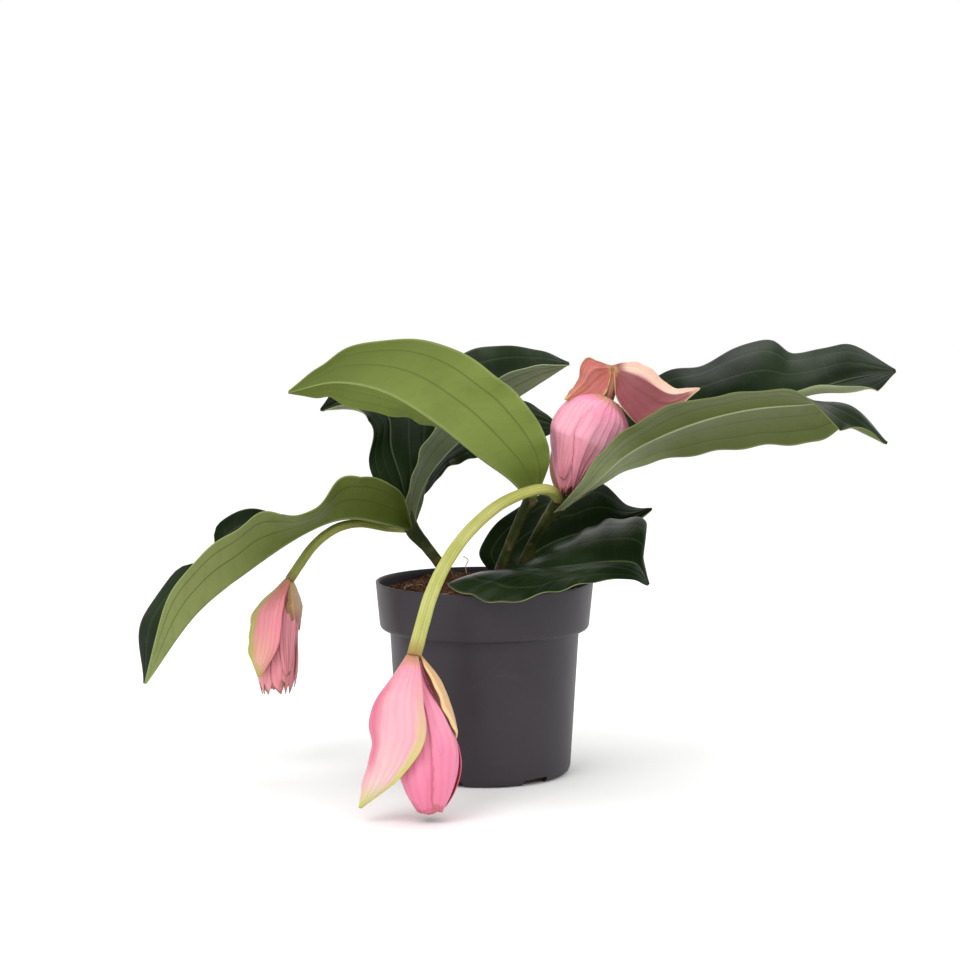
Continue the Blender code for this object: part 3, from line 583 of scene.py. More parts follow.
def sheet(name, grid, upper_lift, lower_lift, s, t):
    """Closed thin solid: upper face slot 0, lower face and rim slot 1. u is across (0 to 1), v is along."""
    rows, columns = grid.shape[:2]
    normal = grid_normals(grid)
    upper = (grid + normal * upper_lift[..., None]).reshape(-1, 3)
    lower = (grid - normal * lower_lift[..., None]).reshape(-1, 3)
    i, j = np.meshgrid(np.arange(rows - 1), np.arange(columns - 1), indexing="ij")
    a = (i * columns + j).ravel()
    quads = np.stack([a, a + 1, a + 1 + columns, a + columns], 1)
    under = rows * columns
    ring = list(range(columns))
    ring += [k * columns + columns - 1 for k in range(1, rows)]
    ring += [(rows - 1) * columns + k for k in range(columns - 2, -1, -1)]
    ring += [k * columns for k in range(rows - 2, 0, -1)]
    ring = np.array(ring)
    after = np.roll(ring, -1)
    rim = np.stack([ring, ring + under, after + under, after], 1)
    faces = np.vstack([quads[:, ::-1], quads + under, rim[:, ::-1]])
    obj = new_object(name, np.vstack([upper, lower]), faces)
    slots = np.r_[np.zeros(len(quads), np.int32), np.ones(len(quads) + len(rim), np.int32)]
    shape = bmesh.new()
    shape.from_mesh(obj.data)
    if shape.calc_volume(signed=True) < 0:
        bmesh.ops.reverse_faces(shape, faces=shape.faces)
    shape.to_mesh(obj.data)
    shape.free()
    obj.data.polygons.foreach_set("material_index", slots)
    across, along = np.meshgrid((s + 1) / 2, t)
    uv = np.stack([across.ravel(), along.ravel()], 1)
    add_uv(obj, np.vstack([uv, uv]))
    shade_smooth(obj)
    return obj


def axis_frames(points, t):
    """Centre, side and other side at each t along an axis, with no twist between them."""
    centre = spline(points, t)
    along = unit(spline(points, np.minimum(t + AXIS_STEP, 1)) - spline(points, np.maximum(t - AXIS_STEP, 0)))
    side = np.zeros_like(along)
    current = np.array([1.0, 0.0, 0.0])
    for i in range(len(t)):
        current = current - along[i] * (current @ along[i])
        current = current / np.linalg.norm(current)
        side[i] = current
    return centre, side, np.cross(along, side)


# Leaves

def margin_reach(margin, centre, t, bays):
    """Vectors from midrib to margin at each t, and their lengths; a bay is its place, spread and depth."""
    reach = spline(margin, t) - centre
    length = np.linalg.norm(reach, axis=1, keepdims=True)
    for place, spread, depth in bays:
        bay = 1 - depth * np.exp(-((t - place) / spread) ** 2)[:, None]
        reach *= bay
        length = length * bay
    reach *= np.maximum(length, LEAST_HALF_WIDTH) / np.maximum(length, TINY)
    return reach, np.maximum(length[:, 0], LEAST_HALF_WIDTH)


def rolled_margin(lift, share, width, s, t, roll):
    """Lift and share with one margin curled up over the leaf; a roll is its side, start, end and angle."""
    side, start, end, degrees = roll
    on_side = (s[None] * side > ROLL_START) & (t[:, None] > start) & (t[:, None] < end)
    window = np.sin(np.pi * np.clip((t - start) / (end - start), 0, 1))[:, None] ** ROLL_EASE
    turn = math.radians(degrees) * window + LEAST_ROLL
    past = np.clip((share - ROLL_START) / (1 - ROLL_START), 0, 1)
    bend = (1 - ROLL_START) / turn
    rolled = ROLL_START + bend * np.sin(past * turn)
    rise = bend * width * (1 - np.cos(past * turn))
    return np.where(on_side, lift + rise, lift), np.where(on_side, rolled, share)


def sheet_grid(lines, rows, columns, bulge, wave, ruffle, rolls=(), bays=()):
    """Middle surface of a leaf or bract, and each row's half width on either side of its midrib."""
    midrib, left, right = [np.array(line, float) * MM for line in lines]
    height, count, phase = wave
    t = np.linspace(0, 1, rows + 1)
    s = np.linspace(-1, 1, 2 * columns + 1)
    centre = spline(midrib, t)
    along = spline(midrib, np.minimum(t + MIDRIB_STEP, 1)) - spline(midrib, np.maximum(t - MIDRIB_STEP, 0))
    reach_left, width_left = margin_reach(left, centre, t, [bay[1:] for bay in bays if bay[0] < 0])
    reach_right, width_right = margin_reach(right, centre, t, [bay[1:] for bay in bays if bay[0] > 0])
    on_left = (s < 0)[None, :, None]
    reach = np.where(on_left, reach_left[:, None], reach_right[:, None])
    inward = np.where(on_left, reach_left[:, None], -reach_right[:, None])
    up = unit(np.cross(np.broadcast_to(along[:, None], inward.shape), inward))
    width = np.where(s[None] < 0, width_left[:, None], width_right[:, None])
    share = np.abs(s)[None]
    turn = TAU * (count * t[:, None] + phase + (s[None] > 0) * HALVES_PHASE)
    ends = np.sin(np.pi * t)[:, None]
    ripple = height * MM * share ** 2 * ends * np.sin(turn)
    ripple = ripple + ruffle * share ** 3 * ends * np.sin(RUFFLE_COUNT * turn + RUFFLE_PHASE)
    lift = bulge * width * 4 * share * (1 - share) + ripple
    for roll in rolls:
        lift, share = rolled_margin(lift, share, width, s, t, roll)
    grid = centre[:, None] + reach * share[..., None] + up * lift[..., None]
    return grid, width, s, t


def ridge(distance, width):
    return np.exp(-(distance / width) ** 2)


def make_leaf(name, lines, wave):
    rolls = ROLLED_MARGINS.get(name, ())
    bays = MARGIN_BAYS.get(name, ())
    grid, width, s, t = sheet_grid(lines, LEAF_ROWS, LEAF_COLUMNS, LEAF_BULGE, wave, LEAF_RUFFLE, rolls, bays)
    share = np.abs(s)[None]
    fade = np.sqrt(np.clip(np.minimum(t / BASE_FADE, (1 - t) / TIP_FADE), 0, 1))[:, None]
    thin = 1 - TIP_THINNING * t[:, None]
    midrib = ridge(share * width, MIDRIB_WIDTH * thin)
    veins = np.zeros_like(width)
    for place in VEIN_SHARES:
        veins = veins + ridge((share - place) * width, VEIN_WIDTH * thin)
    quilt = np.sin(np.pi * np.clip(share / VEIN_SHARES[0], 0, 1)) ** 2 * QUILT * fade
    half = LEAF_EDGE / 2
    upper = half + quilt - (MIDRIB_GROOVE * midrib + VEIN_GROOVE * veins) * fade
    upper = np.maximum(upper, half * LEAF_THINNEST)
    lower = half + (MIDRIB_RIDGE * thin * midrib + VEIN_RIDGE * veins) * fade
    return sheet(name + "_blade", grid, upper, lower, s, t)


# Bracts

def make_bract(name, lines, seed):
    rng = random.Random(seed)
    grid, _, s, t = sheet_grid(lines, BRACT_ROWS, BRACT_COLUMNS, BRACT_BULGE, BRACT_WAVE, BRACT_RUFFLE)
    shift = rng.uniform(-BRACT_RIB_SHIFT, BRACT_RIB_SHIFT)
    crease = np.cos(TAU * np.abs(s)[None] * BRACT_RIBS / 2 + shift)
    fade = np.sqrt(np.sin(np.pi * np.clip(t, RIB_FADE_START, 1)))[:, None]
    relief = BRACT_RIB_HEIGHT * crease * fade
    half = BRACT_EDGE / 2
    return sheet(name, grid, half - relief, half + relief, s, t)


def make_inner_bract(name, axis, radii, first, half_span, taper_start, teeth, reach, rng):
    """One ribbed, cupped bract of a closed head; teeth is (count, depth) of its ragged end."""
    t = np.linspace(0, 1, INNER_ROWS + 1)
    s = np.linspace(-1, 1, 2 * INNER_COLUMNS + 1)
    count, depth = teeth
    shift = rng.uniform(0, 1)
    saw = np.abs(np.mod(s * count / 2 + shift, 1) * 2 - 1)
    notched = (1 - depth * saw * rng.uniform(*INNER_TIP_SPREAD))[None]
    along_axis = t[:, None] * notched * (1 - rng.uniform(0, depth / 2)) * reach
    flat = along_axis.ravel()
    line = np.array(axis, float) * MM
    _, side, other = axis_frames(line, t)
    centre = spline(line, flat).reshape(*along_axis.shape, 3)
    index = np.clip((along_axis * INNER_ROWS).astype(int), 0, INNER_ROWS)
    side, other = side[index], other[index]
    past = np.clip(t - taper_start, 0, 1) / (INNER_TAPER_END - taper_start)
    span = math.radians(half_span) * np.sqrt(np.clip(1 - past ** 2, INNER_NARROWEST, 1))
    lean = rng.uniform(-INNER_LEAN, INNER_LEAN)
    phase = rng.uniform(0, TAU)
    angle = first + span[:, None] * s[None] + lean * t[:, None]
    swell = INNER_SWELL * np.sin(1.5 * TAU * t[:, None] + phase + 2 * s[None])
    ends = np.sin(np.pi * t)[:, None]
    rib_ends = np.sin(np.pi * np.clip(t, 0, INNER_RIB_END))[:, None]
    ribs = INNER_RIB_HEIGHT * np.cos(TAU * INNER_RIBS * s / 2 + phase)[None] * rib_ends
    folds = INNER_FOLD_HEIGHT * np.sin(INNER_FOLDS[0] * s[None] + INNER_FOLDS[1] * t[:, None] + phase) * ends
    size = spline(radii, flat).reshape(along_axis.shape) * MM
    keel = INNER_TWIST * s[None] - INNER_KEEL * np.cos(TAU * s)[None]
    radius = size * (1 + swell) + keel + ribs + folds
    grid = centre + side * (radius * np.cos(angle))[..., None] + other * (radius * np.sin(angle))[..., None]
    thick = np.full(radius.shape, INNER_THICKNESS / 2)
    return sheet(name, grid, thick, thick, s, t)


# Stems and stalks

def make_tube(name, points, radii, rings, sides, ridges=0, ridge_height=0, bump=0):
    """Solid stem, with long ridges where they are asked for; u is round it, v along it."""
    t = np.linspace(0, 1, rings)
    centre, side, other = axis_frames(np.array(points, float) * MM, t)
    turn = np.arange(sides) / sides * TAU
    radius = spline(radii, t) * MM * (1 + ridge_height * np.cos(ridges * (turn - RIDGE_TURN)))[None]
    if bump:
        uneven = np.sin(BARK_ROUND[0] * turn + BARK_ALONG[0] * t[:, None])
        uneven = uneven * np.sin(BARK_ALONG[1] * t[:, None] + BARK_ROUND[1] * turn)
        radius = radius + bump * uneven
    cos, sin = np.cos(turn)[None, :, None], np.sin(turn)[None, :, None]
    grid = centre[:, None] + (side[:, None] * cos + other[:, None] * sin) * radius[..., None]
    points = np.vstack([grid.reshape(-1, 3), centre[0], centre[-1]])
    ends = rings * sides
    faces = ring_faces(range(0, ends, sides), sides)
    faces += [face[::-1] for face in fan(ends, 0, sides)]
    faces += fan(ends + 1, ends - sides, sides)
    obj = new_object(name, points, faces)
    round_it, along = np.meshgrid(np.abs(np.arange(sides) / sides * 2 - 1), t)
    uv = np.vstack([np.stack([round_it.ravel(), along.ravel()], 1), [[0.5, 0]], [[0.5, 1]]])
    add_uv(obj, uv)
    shade_smooth(obj)
    return obj


# Pot

def revolved(name, outline, segments):
    """Closed solid of revolution, from a point on the axis through rings to a point on the axis."""
    turn = np.arange(segments) / segments * TAU
    rings = [np.column_stack([radius * np.cos(turn), radius * np.sin(turn), np.full(segments, z)])
             for radius, z in outline[1:-1]]
    ends = len(rings) * segments
    points = np.vstack(rings + [[[0, 0, outline[0][1]]], [[0, 0, outline[-1][1]]]])
    faces = ring_faces(range(0, ends, segments), segments)
    faces += [face[::-1] for face in fan(ends, 0, segments)]
    faces += fan(ends + 1, ends - segments, segments)
    return new_object(name, points, faces)


def rounded(corners):
    """Outline through the corners, each given as (radius, height, rounding) and rounded by that much."""
    places = [corner[:2] for corner in corners]
    found = [places[0]]
    for before, corner, after, (_, _, radius) in zip(places, places[1:], places[2:], corners[1:]):
        b, c, a = Vector(before), Vector(corner), Vector(after)
        reach = min(radius, (b - c).length * MOST_ROUNDING, (a - c).length * MOST_ROUNDING)
        start = c + (b - c).normalized() * reach
        end = c + (a - c).normalized() * reach
        for k in range(CORNER_STEPS + 1):
            u = k / CORNER_STEPS
            found.append(tuple(start * (1 - u) ** 2 + c * 2 * u * (1 - u) + end * u ** 2))
    found.append(places[-1])
    return found


def pot_outline():
    """From the axis under the floor, up the outside, over the lip and down the inside to the axis."""
    step = POT_HEIGHT - POT_COLLAR_HEIGHT
    lip = POT_RIM_RADIUS - POT_LIP
    return rounded([
        (0, 0, 0),
        (POT_BASE_RADIUS - 1 * MM, 0, 6 * MM),
        (POT_NECK_RADIUS, step - 0.4 * MM, 1.2 * MM),
        (POT_COLLAR_BOTTOM_RADIUS - 0.2 * MM, step + 0.6 * MM, 6.5 * MM),
        (POT_RIM_RADIUS, POT_HEIGHT, 1 * MM),
        (lip, POT_HEIGHT, 0.8 * MM),
        (lip - 0.5 * MM, POT_HEIGHT - 2.6 * MM, 0.6 * MM),
        (POT_COLLAR_BOTTOM_RADIUS - POT_WALL, step + 4 * MM, 2 * MM),
        (POT_NECK_RADIUS - POT_WALL, step + 1 * MM, 1 * MM),
        (POT_BASE_RADIUS - POT_WALL, POT_FLOOR, 5 * MM),
        (0, POT_FLOOR, 0),
    ])


def make_notch(collection, angle):
    shape = bmesh.new()
    bmesh.ops.create_cube(shape, size=1)
    bmesh.ops.scale(shape, vec=(NOTCH_DEPTH, NOTCH_WIDTH, 2 * NOTCH_HEIGHT), verts=shape.verts)
    bmesh.ops.bevel(shape, geom=list(shape.edges), offset=NOTCH_CORNER, segments=NOTCH_CORNER_STEPS,
                    profile=0.5, affect="EDGES")
    bmesh.ops.translate(shape, vec=(POT_BASE_RADIUS, 0, 0), verts=shape.verts)
    bmesh.ops.rotate(shape, cent=(0, 0, 0), matrix=Matrix.Rotation(angle, 3, "Z"), verts=shape.verts)
    finished(shape, "notch", collection)


def make_pot():
    obj = revolved("pot_skin", pot_outline(), POT_SEGMENTS)
    notches = bpy.data.collections.new("notches")
    bpy.context.scene.collection.children.link(notches)
    for k in range(NOTCH_COUNT):
        make_notch(notches, math.radians(NOTCH_FIRST_ANGLE) + TAU * k / NOTCH_COUNT)
    modifier = obj.modifiers.new("notches", "BOOLEAN")
    modifier.operation = "DIFFERENCE"
    modifier.operand_type = "COLLECTION"
    modifier.collection = notches
    modifier.solver = "MANIFOLD"
    bpy.context.view_layer.update()
    graph = bpy.context.evaluated_depsgraph_get()
    obj.data = bpy.data.meshes.new_from_object(obj.evaluated_get(graph), depsgraph=graph)
    obj.modifiers.clear()
    for notch in list(notches.objects):
        bpy.data.objects.remove(notch, do_unlink=True)
    bpy.data.collections.remove(notches)
    shade_smooth(obj)
    obj.data.polygons.foreach_set("material_index", [0] * len(obj.data.polygons))
    obj.data.set_sharp_from_angle(angle=math.radians(POT_SHARP_DEG))
    return obj


# Soil

def soil_height(x, y):
    dx = x - SOIL_MOUND_CENTRE[0]
    dy = y - SOIL_MOUND_CENTRE[1]
    return SOIL_EDGE_LEVEL + SOIL_MOUND * math.exp(-(dx * dx + dy * dy) / (2 * SOIL_MOUND_SPREAD ** 2))


def soil_place(rng, clearance):
    """Random point on the soil, even over its area, at least the clearance from its edge."""
    radius = (SOIL_RADIUS - clearance) * math.sqrt(rng.random())
    angle = rng.uniform(0, TAU)
    return radius * math.cos(angle), radius * math.sin(angle)


def soil_lumps(flat, rng):
    """Height that the lumps add at each point."""
    reach = LUMP_REACH_MM
    lumps = []
    for _ in range(LUMPS):
        x, y = rng.uniform(-reach, reach), rng.uniform(-reach, reach)
        lumps.append((x, y, rng.uniform(*LUMP_SIZES_MM), rng.uniform(-1, 1)))
    lumps = np.array(lumps)
    near = (flat[:, None, :] / MM - lumps[None, :, :2]) / lumps[None, :, 2:3]
    return (np.exp(-(near ** 2).sum(2)) * lumps[None, :, 3]).sum(1) * LUMP_HEIGHT


def make_soil_top(rng):
    """Lumpy top surface with a short skirt, as a closed disc."""
    rings, sides = SOIL_RINGS, SOIL_SIDES
    flat = []
    for i in range(1, rings + 1):
        for k in range(sides):
            angle = TAU * k / sides
            radius = SOIL_RADIUS * i / rings
            flat.append((radius * math.cos(angle), radius * math.sin(angle)))
    flat = np.array(flat)
    height = np.array([soil_height(x, y) for x, y in flat]) + soil_lumps(flat, rng)
    top = np.column_stack([flat, height])
    edge = top[-sides:].copy()
    bottom = SOIL_EDGE_LEVEL - SOIL_SKIRT
    edge[:, 2] = bottom
    points = np.vstack([top, edge, [[0, 0, soil_height(0, 0)]], [[0, 0, bottom]]])
    centre = (rings + 1) * sides
    faces = ring_faces(range(0, centre, sides), sides) + fan(centre + 1, rings * sides, sides)
    faces = fan(centre, 0, sides) + [face[::-1] for face in faces]
    obj = new_object("soil_top", points, faces)
    shade_smooth(obj)
    return obj


def make_crumbs(rng):
    """Loose crumbs of potting mix bedded in the surface."""
    shape = bmesh.new()
    for _ in range(CRUMBS):
        x, y = soil_place(rng, CRUMB_CLEARANCE)
        size = rng.uniform(*CRUMB_SIZES_MM) * MM
        made = bmesh.ops.create_icosphere(shape, subdivisions=1, radius=size)
        stretch = [rng.uniform(*limits) for limits in CRUMB_STRETCH]
        bmesh.ops.scale(shape, vec=stretch, verts=made["verts"])
        for vert in made["verts"]:
            vert.co *= rng.uniform(*CRUMB_ROUGHNESS)
        angle = rng.uniform(0, TAU)
        about = Vector((rng.random(), rng.random(), 1)).normalized()
        turn = Matrix.Rotation(angle, 3, about)
        bmesh.ops.rotate(shape, cent=(0, 0, 0), matrix=turn, verts=made["verts"])
        place = (x, y, soil_height(x, y) + CRUMB_LIFT * size)
        bmesh.ops.translate(shape, vec=place, verts=made["verts"])
    return finished(shape, "soil_crumbs")


def make_fibres(rng):
    """Thin stray roots and fibres on the soil, and one root that stands up from it."""
    made = []
    for _ in range(FIBRES):
        x, y = [place / MM for place in soil_place(rng, FIBRE_CLEARANCE)]
        heading = rng.uniform(0, TAU)
        points = []
        for step in range(FIBRE_POINTS):
            arch = FIBRE_ARCH_MM if 0 < step < FIBRE_POINTS - 1 else 0
            z = soil_height(x * MM, y * MM) / MM + FIBRE_LIFT_MM + arch * rng.random()
            points.append((x, y, z))
            heading += rng.uniform(-FIBRE_BEND, FIBRE_BEND)
            x += FIBRE_STEP_MM * math.cos(heading)
            y += FIBRE_STEP_MM * math.sin(heading)
            if math.hypot(x, y) > FIBRE_REACH_MM:
                break
        if len(points) > 2:
            made.append(make_tube("fibre", points, [FIBRE_RADIUS_MM] * len(points), *FIBRE_MESH))
    radii = [STRAY_ROOT_RADIUS_MM] * len(STRAY_ROOT)
    made.append(make_tube("fibre", STRAY_ROOT, radii, *STRAY_ROOT_MESH))
    return join(made, "soil_fibres")


# Materials

class Nodes:
    """Short-hand for building one material's node tree."""

    def __init__(self, name, roughness, coat=0, specular=0.5):
        self.material = bpy.data.materials.new(name)
        self.material.use_nodes = True
        self.tree = self.material.node_tree
        self.shader = self.tree.nodes["Principled BSDF"]
        self.shader.inputs["Roughness"].default_value = roughness
        self.shader.inputs["Coat Weight"].default_value = coat
        self.shader.inputs["Coat Roughness"].default_value = 0.18
        self.shader.inputs["Specular IOR Level"].default_value = specular

    def plug(self, socket, value):
        if isinstance(value, bpy.types.NodeSocket):
            self.tree.links.new(value, socket)
        elif isinstance(value, tuple) and len(value) == 3 and socket.type == "RGBA":
            socket.default_value = (*value, 1)
        else:
            socket.default_value = value

    def add(self, kind, values, out=0, **settings):
        """Output of a new node with these settings and input values."""
        node = self.tree.nodes.new("ShaderNode" + kind)
        for key, setting in settings.items():
            setattr(node, key, setting)
        for key, value in values.items():
            self.plug(node.inputs[key], value)
        return node.outputs[out]

    def times(self, a, b):
        return self.add("Math", {0: a, 1: b}, operation="MULTIPLY")

    def plus(self, a, b):
        return self.add("Math", {0: a, 1: b}, operation="ADD")

    def minus(self, a, b):
        return self.add("Math", {0: a, 1: b}, operation="SUBTRACT")

    def most(self, a, b):
        return self.add("Math", {0: a, 1: b}, operation="MAXIMUM")

    def gap(self, value, place):
        """How far the value is from a place."""
        return self.add("Math", {0: self.minus(value, place)}, operation="ABSOLUTE")

    def lines(self, value, wide, narrow):
        """One soft line in each whole step of the value, from 0 at wide to 1 at narrow."""
        part = self.add("Math", {0: value}, operation="FRACT")
        return self.ramp(self.gap(part, 0.5), wide, narrow)

    def uv(self):
        place = self.add("UVMap", {}, uv_map="along")
        return [self.add("SeparateXYZ", {0: place}, out) for out in (0, 1)]

    def height(self):
        return self.add("SeparateXYZ", {0: self.add("TexCoord", {}, "Object")}, 2)

    def noise(self, scale, detail=4, stretch=None):
        vector = self.add("TexCoord", {}, "Object")
        if stretch:
            vector = self.add("Mapping", {"Vector": vector, "Scale": stretch})
        return self.add("TexNoise", {"Vector": vector, "Scale": scale, "Detail": detail}, "Fac")

    def wander(self, scale, detail, amount):
        """Noise about zero."""
        return self.times(self.minus(self.noise(scale, detail), 0.5), amount)

    def patches(self, scale, low, high, detail=4, stretch=None):
        """Soft patches where the noise is over low, full where it is over high."""
        return self.ramp(self.noise(scale, detail, stretch), low, high)

    def ramp(self, value, low, high):
        """Smooth step from 0 at low to 1 at high, either way round."""
        turned = low > high
        values = {"Value": value, "From Min": min(low, high), "From Max": max(low, high)}
        values.update({"To Min": float(turned), "To Max": float(not turned)})
        return self.add("MapRange", values, "Result", interpolation_type="SMOOTHSTEP")

    def mix(self, factor, a, b):
        return self.add("Mix", {0: factor, 6: a, 7: b}, 2, data_type="RGBA")

    def tint(self, base, mask, strength, colour):
        """The base with some of the colour where the mask is."""
        return self.mix(self.times(mask, strength), base, colour)

    def bump(self, height, distance, strength=1):
        values = {"Height": height, "Distance": distance, "Strength": strength}
        self.plug(self.shader.inputs["Normal"], self.add("Bump", values))

    def colour(self, value):
        self.plug(self.shader.inputs["Base Color"], value)
        return self.material


def shade(colour, factor):
    return tuple(factor * c for c in colour)


def toned(colour, tone):
    return tuple(c * k for c, k in zip(colour, tone))


def vein_lines(m):
    """Place across and along the leaf, and masks of its midrib, long veins and fine cross veins."""
    u, v = m.uv()
    across = m.times(m.gap(u, 0.5), 2)
    midrib = m.ramp(across, 0.035, 0.012)
    inner, outer = [m.ramp(m.gap(across, place), 0.022, 0.004) for place in VEIN_SHARES]
    bowed = m.plus(v, m.times(across, CROSS_VEIN_BOW))
    uneven = m.plus(bowed, m.times(m.noise(42, 3), CROSS_VEIN_WANDER))
    cross = m.lines(m.times(uneven, CROSS_VEINS), 0.11, 0.02)
    return across, v, midrib, m.most(inner, outer), cross


def leaf_upper_material():
    """Dark and softly glossy; the sheen comes and goes in broad patches."""
    darker, lighter = (0.005, 0.011, 0.003), (0.0135, 0.0255, 0.008)
    m = Nodes("leaf_upper", 0.28)
    sheen = m.plus(m.times(m.patches(11, 0.4, 0.66, 2), 0.13), 0.025)
    m.plug(m.shader.inputs["Specular IOR Level"], sheen)
    across, _, midrib, long_veins, cross = vein_lines(m)
    base = m.mix(m.patches(14, 0.35, 0.7), darker, lighter)
    base = m.tint(base, cross, 0.06, (0.03, 0.045, 0.022))
    base = m.tint(base, long_veins, 0.4, (0.045, 0.065, 0.032))
    base = m.tint(base, midrib, 0.6, (0.085, 0.115, 0.05))
    base = m.tint(base, m.ramp(across, 0.975, 0.995), 0.45, (0.08, 0.1, 0.04))
    grain = m.times(m.noise(120, 3), 0.45)
    m.bump(m.minus(grain, m.times(cross, 0.16)), 0.0006, 0.7)
    return m.colour(base)


def leaf_lower_material(name, near_base, middle, near_tip, midrib_tint):
    """Matt underside; its green changes from the leaf's base over the middle to the tip."""
    m = Nodes(name, 0.44, specular=0.12)
    across, v, midrib, long_veins, cross = vein_lines(m)
    along = m.plus(v, m.wander(16, 3, 0.3))
    base = m.mix(m.ramp(along, 0.05, 0.4), near_base, middle)
    base = m.mix(m.ramp(along, 0.45, 0.95), base, near_tip)
    base = m.tint(base, m.patches(34, 0.5, 0.78), 0.35, shade(middle, 0.62))
    base = m.tint(base, cross, 0.1, shade(middle, 0.62))
    base = m.tint(base, long_veins, 0.65, shade(middle, 0.5))
    base = m.tint(base, midrib, 0.8, midrib_tint)
    base = m.tint(base, m.ramp(across, 0.965, 0.99), 0.35, (0.3, 0.34, 0.13))
    grain = m.times(m.noise(130, 3), 0.45)
    m.bump(m.plus(grain, m.times(cross, 0.15)), 0.0006, 0.6)
    return m.colour(base)


def bract_material(name, tints, rim, rim_width, tip_start, line_depth=0.22, rim_side=None, rim_full=0.1,
                   fold=None):
    """Petal colour along the bract, with soft ribs, a rim and a tip; BRACT_LOOKS says what each value is."""
    near_base, middle, end = tints
    m = Nodes(name, 0.44, coat=0.05, specular=0.35)
    m.shader.inputs["Subsurface Weight"].default_value = 0.15
    m.shader.inputs["Subsurface Scale"].default_value = 0.002
    m.shader.inputs["Subsurface Radius"].default_value = (1, 0.4, 0.35)
    u, v = m.uv()
    uneven = m.wander(48, 3, 0.5)
    ragged = m.wander(110, 3, 0.18)
    across = m.times(m.gap(u, 0.5), 2)

    along = m.plus(v, uneven)
    base = m.mix(m.ramp(along, 0.00, 0.38), near_base, middle)
    base = m.mix(m.ramp(along, 0.42, 0.95), base, end)
    base = m.tint(base, m.ramp(across, 0.25, 0.95), 0.55, toned(middle, BLUSH))
    wobbling = m.plus(u, m.times(m.noise(38, 2), 0.16))
    line = m.lines(m.times(wobbling, BRACT_LINES), 0.32, 0.02)
    base = m.tint(base, line, line_depth, toned(middle, DEEP_PINK))
    if fold:
        turned = m.ramp(m.plus(u, m.times(uneven, 0.3)), 0.38, 0.12)
        stretch = m.times(m.ramp(v, 0.06, 0.26), m.ramp(v, 0.76, 0.54))
        base = m.tint(base, m.times(turned, stretch), 0.95, fold)
    base = m.tint(base, m.patches(210, 0.66, 0.76), 0.22, BRACT_SPOTS)

    attached = m.ramp(m.plus(v, m.times(ragged, 0.4)), 0.085, 0.02)
    base = m.tint(base, attached, 0.75, BRACT_FOOT)
    margins = {None: across, "left": m.minus(1, u), "right": u}
    edge = m.ramp(m.plus(margins[rim_side], ragged), 1 - rim_width, 1 - 0.45 * rim_width)
    edge = m.times(edge, m.ramp(v, 0.05, rim_full))
    tip = m.ramp(m.plus(v, ragged), tip_start, 1)
    base = m.tint(base, m.most(edge, tip), 0.9, rim)
    m.bump(m.plus(m.times(m.noise(150), 0.6), m.times(line, 0.5)), 0.0007, 0.8)
    return m.colour(base)


def stalk_material(name, pale, deep, brown):
    """Fleshy stalk with fine streaks along it and dark lines of painted shade for its grooves, brown where it
    is attached.
    """
    m = Nodes(name, 0.42, specular=0.35)
    u, v = m.uv()
    base = m.mix(m.patches(30, 0.35, 0.7), pale, deep)
    # Darker lines round the stalk: painted shade of grooves, which the bump does not carry
    base = m.tint(base, m.lines(m.times(u, STALK_GROOVE_SHADE_LINES), 0.34, 0.00), 0.4, shade(deep, 0.6))
    wandering = m.plus(m.times(u, STALK_STREAKS), m.times(m.noise(26, 2), 0.8))
    streak = m.lines(wandering, 0.3, 0.04)
    base = m.tint(base, streak, 0.24, shade(deep, 0.62))
    base = m.tint(base, m.most(m.ramp(v, 0.93, 1), m.ramp(v, 0.05, 0)), 0.75, brown)
    base = m.tint(base, m.patches(380, 0.6, 0.72, 2), 0.16, brown)
    grain = m.times(m.noise(300, 3, ALONG_STALK), 0.5)
    m.bump(m.minus(grain, m.times(streak, 0.6)), 0.0006, 0.8)
    return m.colour(base)


def stem_material():
    """Green bark with corky spots, reddish just over the soil."""
    m = Nodes("stem_bark", 0.5, specular=0.1)
    base = m.mix(m.patches(40, 0.35, 0.7), (0.014, 0.02, 0.004), (0.044, 0.056, 0.011))
    base = m.tint(base, m.patches(120, 0.52, 0.66, 5), 0.7, (0.11, 0.07, 0.035))
    base = m.tint(base, m.ramp(m.height(), 0.168, 0.145), 0.8, (0.085, 0.034, 0.02))
    m.bump(m.noise(260, 5, ALONG_STEM), 0.0008, 0.9)
    return m.colour(base)


def pot_material():
    """Dark moulded plastic with faint clouds and scuffs."""
    m = Nodes("pot_plastic", 0.46, specular=0.3)
    base = m.mix(m.patches(9, 0.3, 0.75, 3), (0.027, 0.022, 0.028), (0.037, 0.031, 0.038))
    base = m.tint(base, m.patches(26, 0.62, 0.8, 6, AROUND_POT), 0.09, (0.13, 0.12, 0.125))
    rough = m.plus(m.times(m.noise(34, 5), 0.16), 0.38)
    m.plug(m.shader.inputs["Roughness"], rough)
    m.bump(m.noise(900, 3), 0.00015, 0.5)
    return m.colour(base)


def soil_material():
    m = Nodes("soil_mix", 0.95, specular=0.15)
    base = m.mix(m.patches(160, 0.35, 0.65, 6), (0.022, 0.009, 0.005), (0.105, 0.044, 0.022))
    base = m.mix(m.patches(420, 0.62, 0.72), base, (0.19, 0.095, 0.05))
    m.bump(m.noise(500, 6), 0.0012, 1)
    return m.colour(base)


def crumb_material():
    m = Nodes("soil_crumb", 0.95, specular=0.15)
    base = m.mix(m.patches(90, 0.35, 0.65, 3), (0.028, 0.01, 0.004), (0.105, 0.04, 0.017))
    base = m.mix(m.patches(300, 0.62, 0.7, 2), base, (0.17, 0.085, 0.04))
    m.bump(m.noise(800), 0.0008, 0.9)
    return m.colour(base)


def fibre_material():
    m = Nodes("soil_fibre", 0.8)
    return m.colour(m.mix(m.noise(200), (0.18, 0.1, 0.05), (0.42, 0.3, 0.18)))


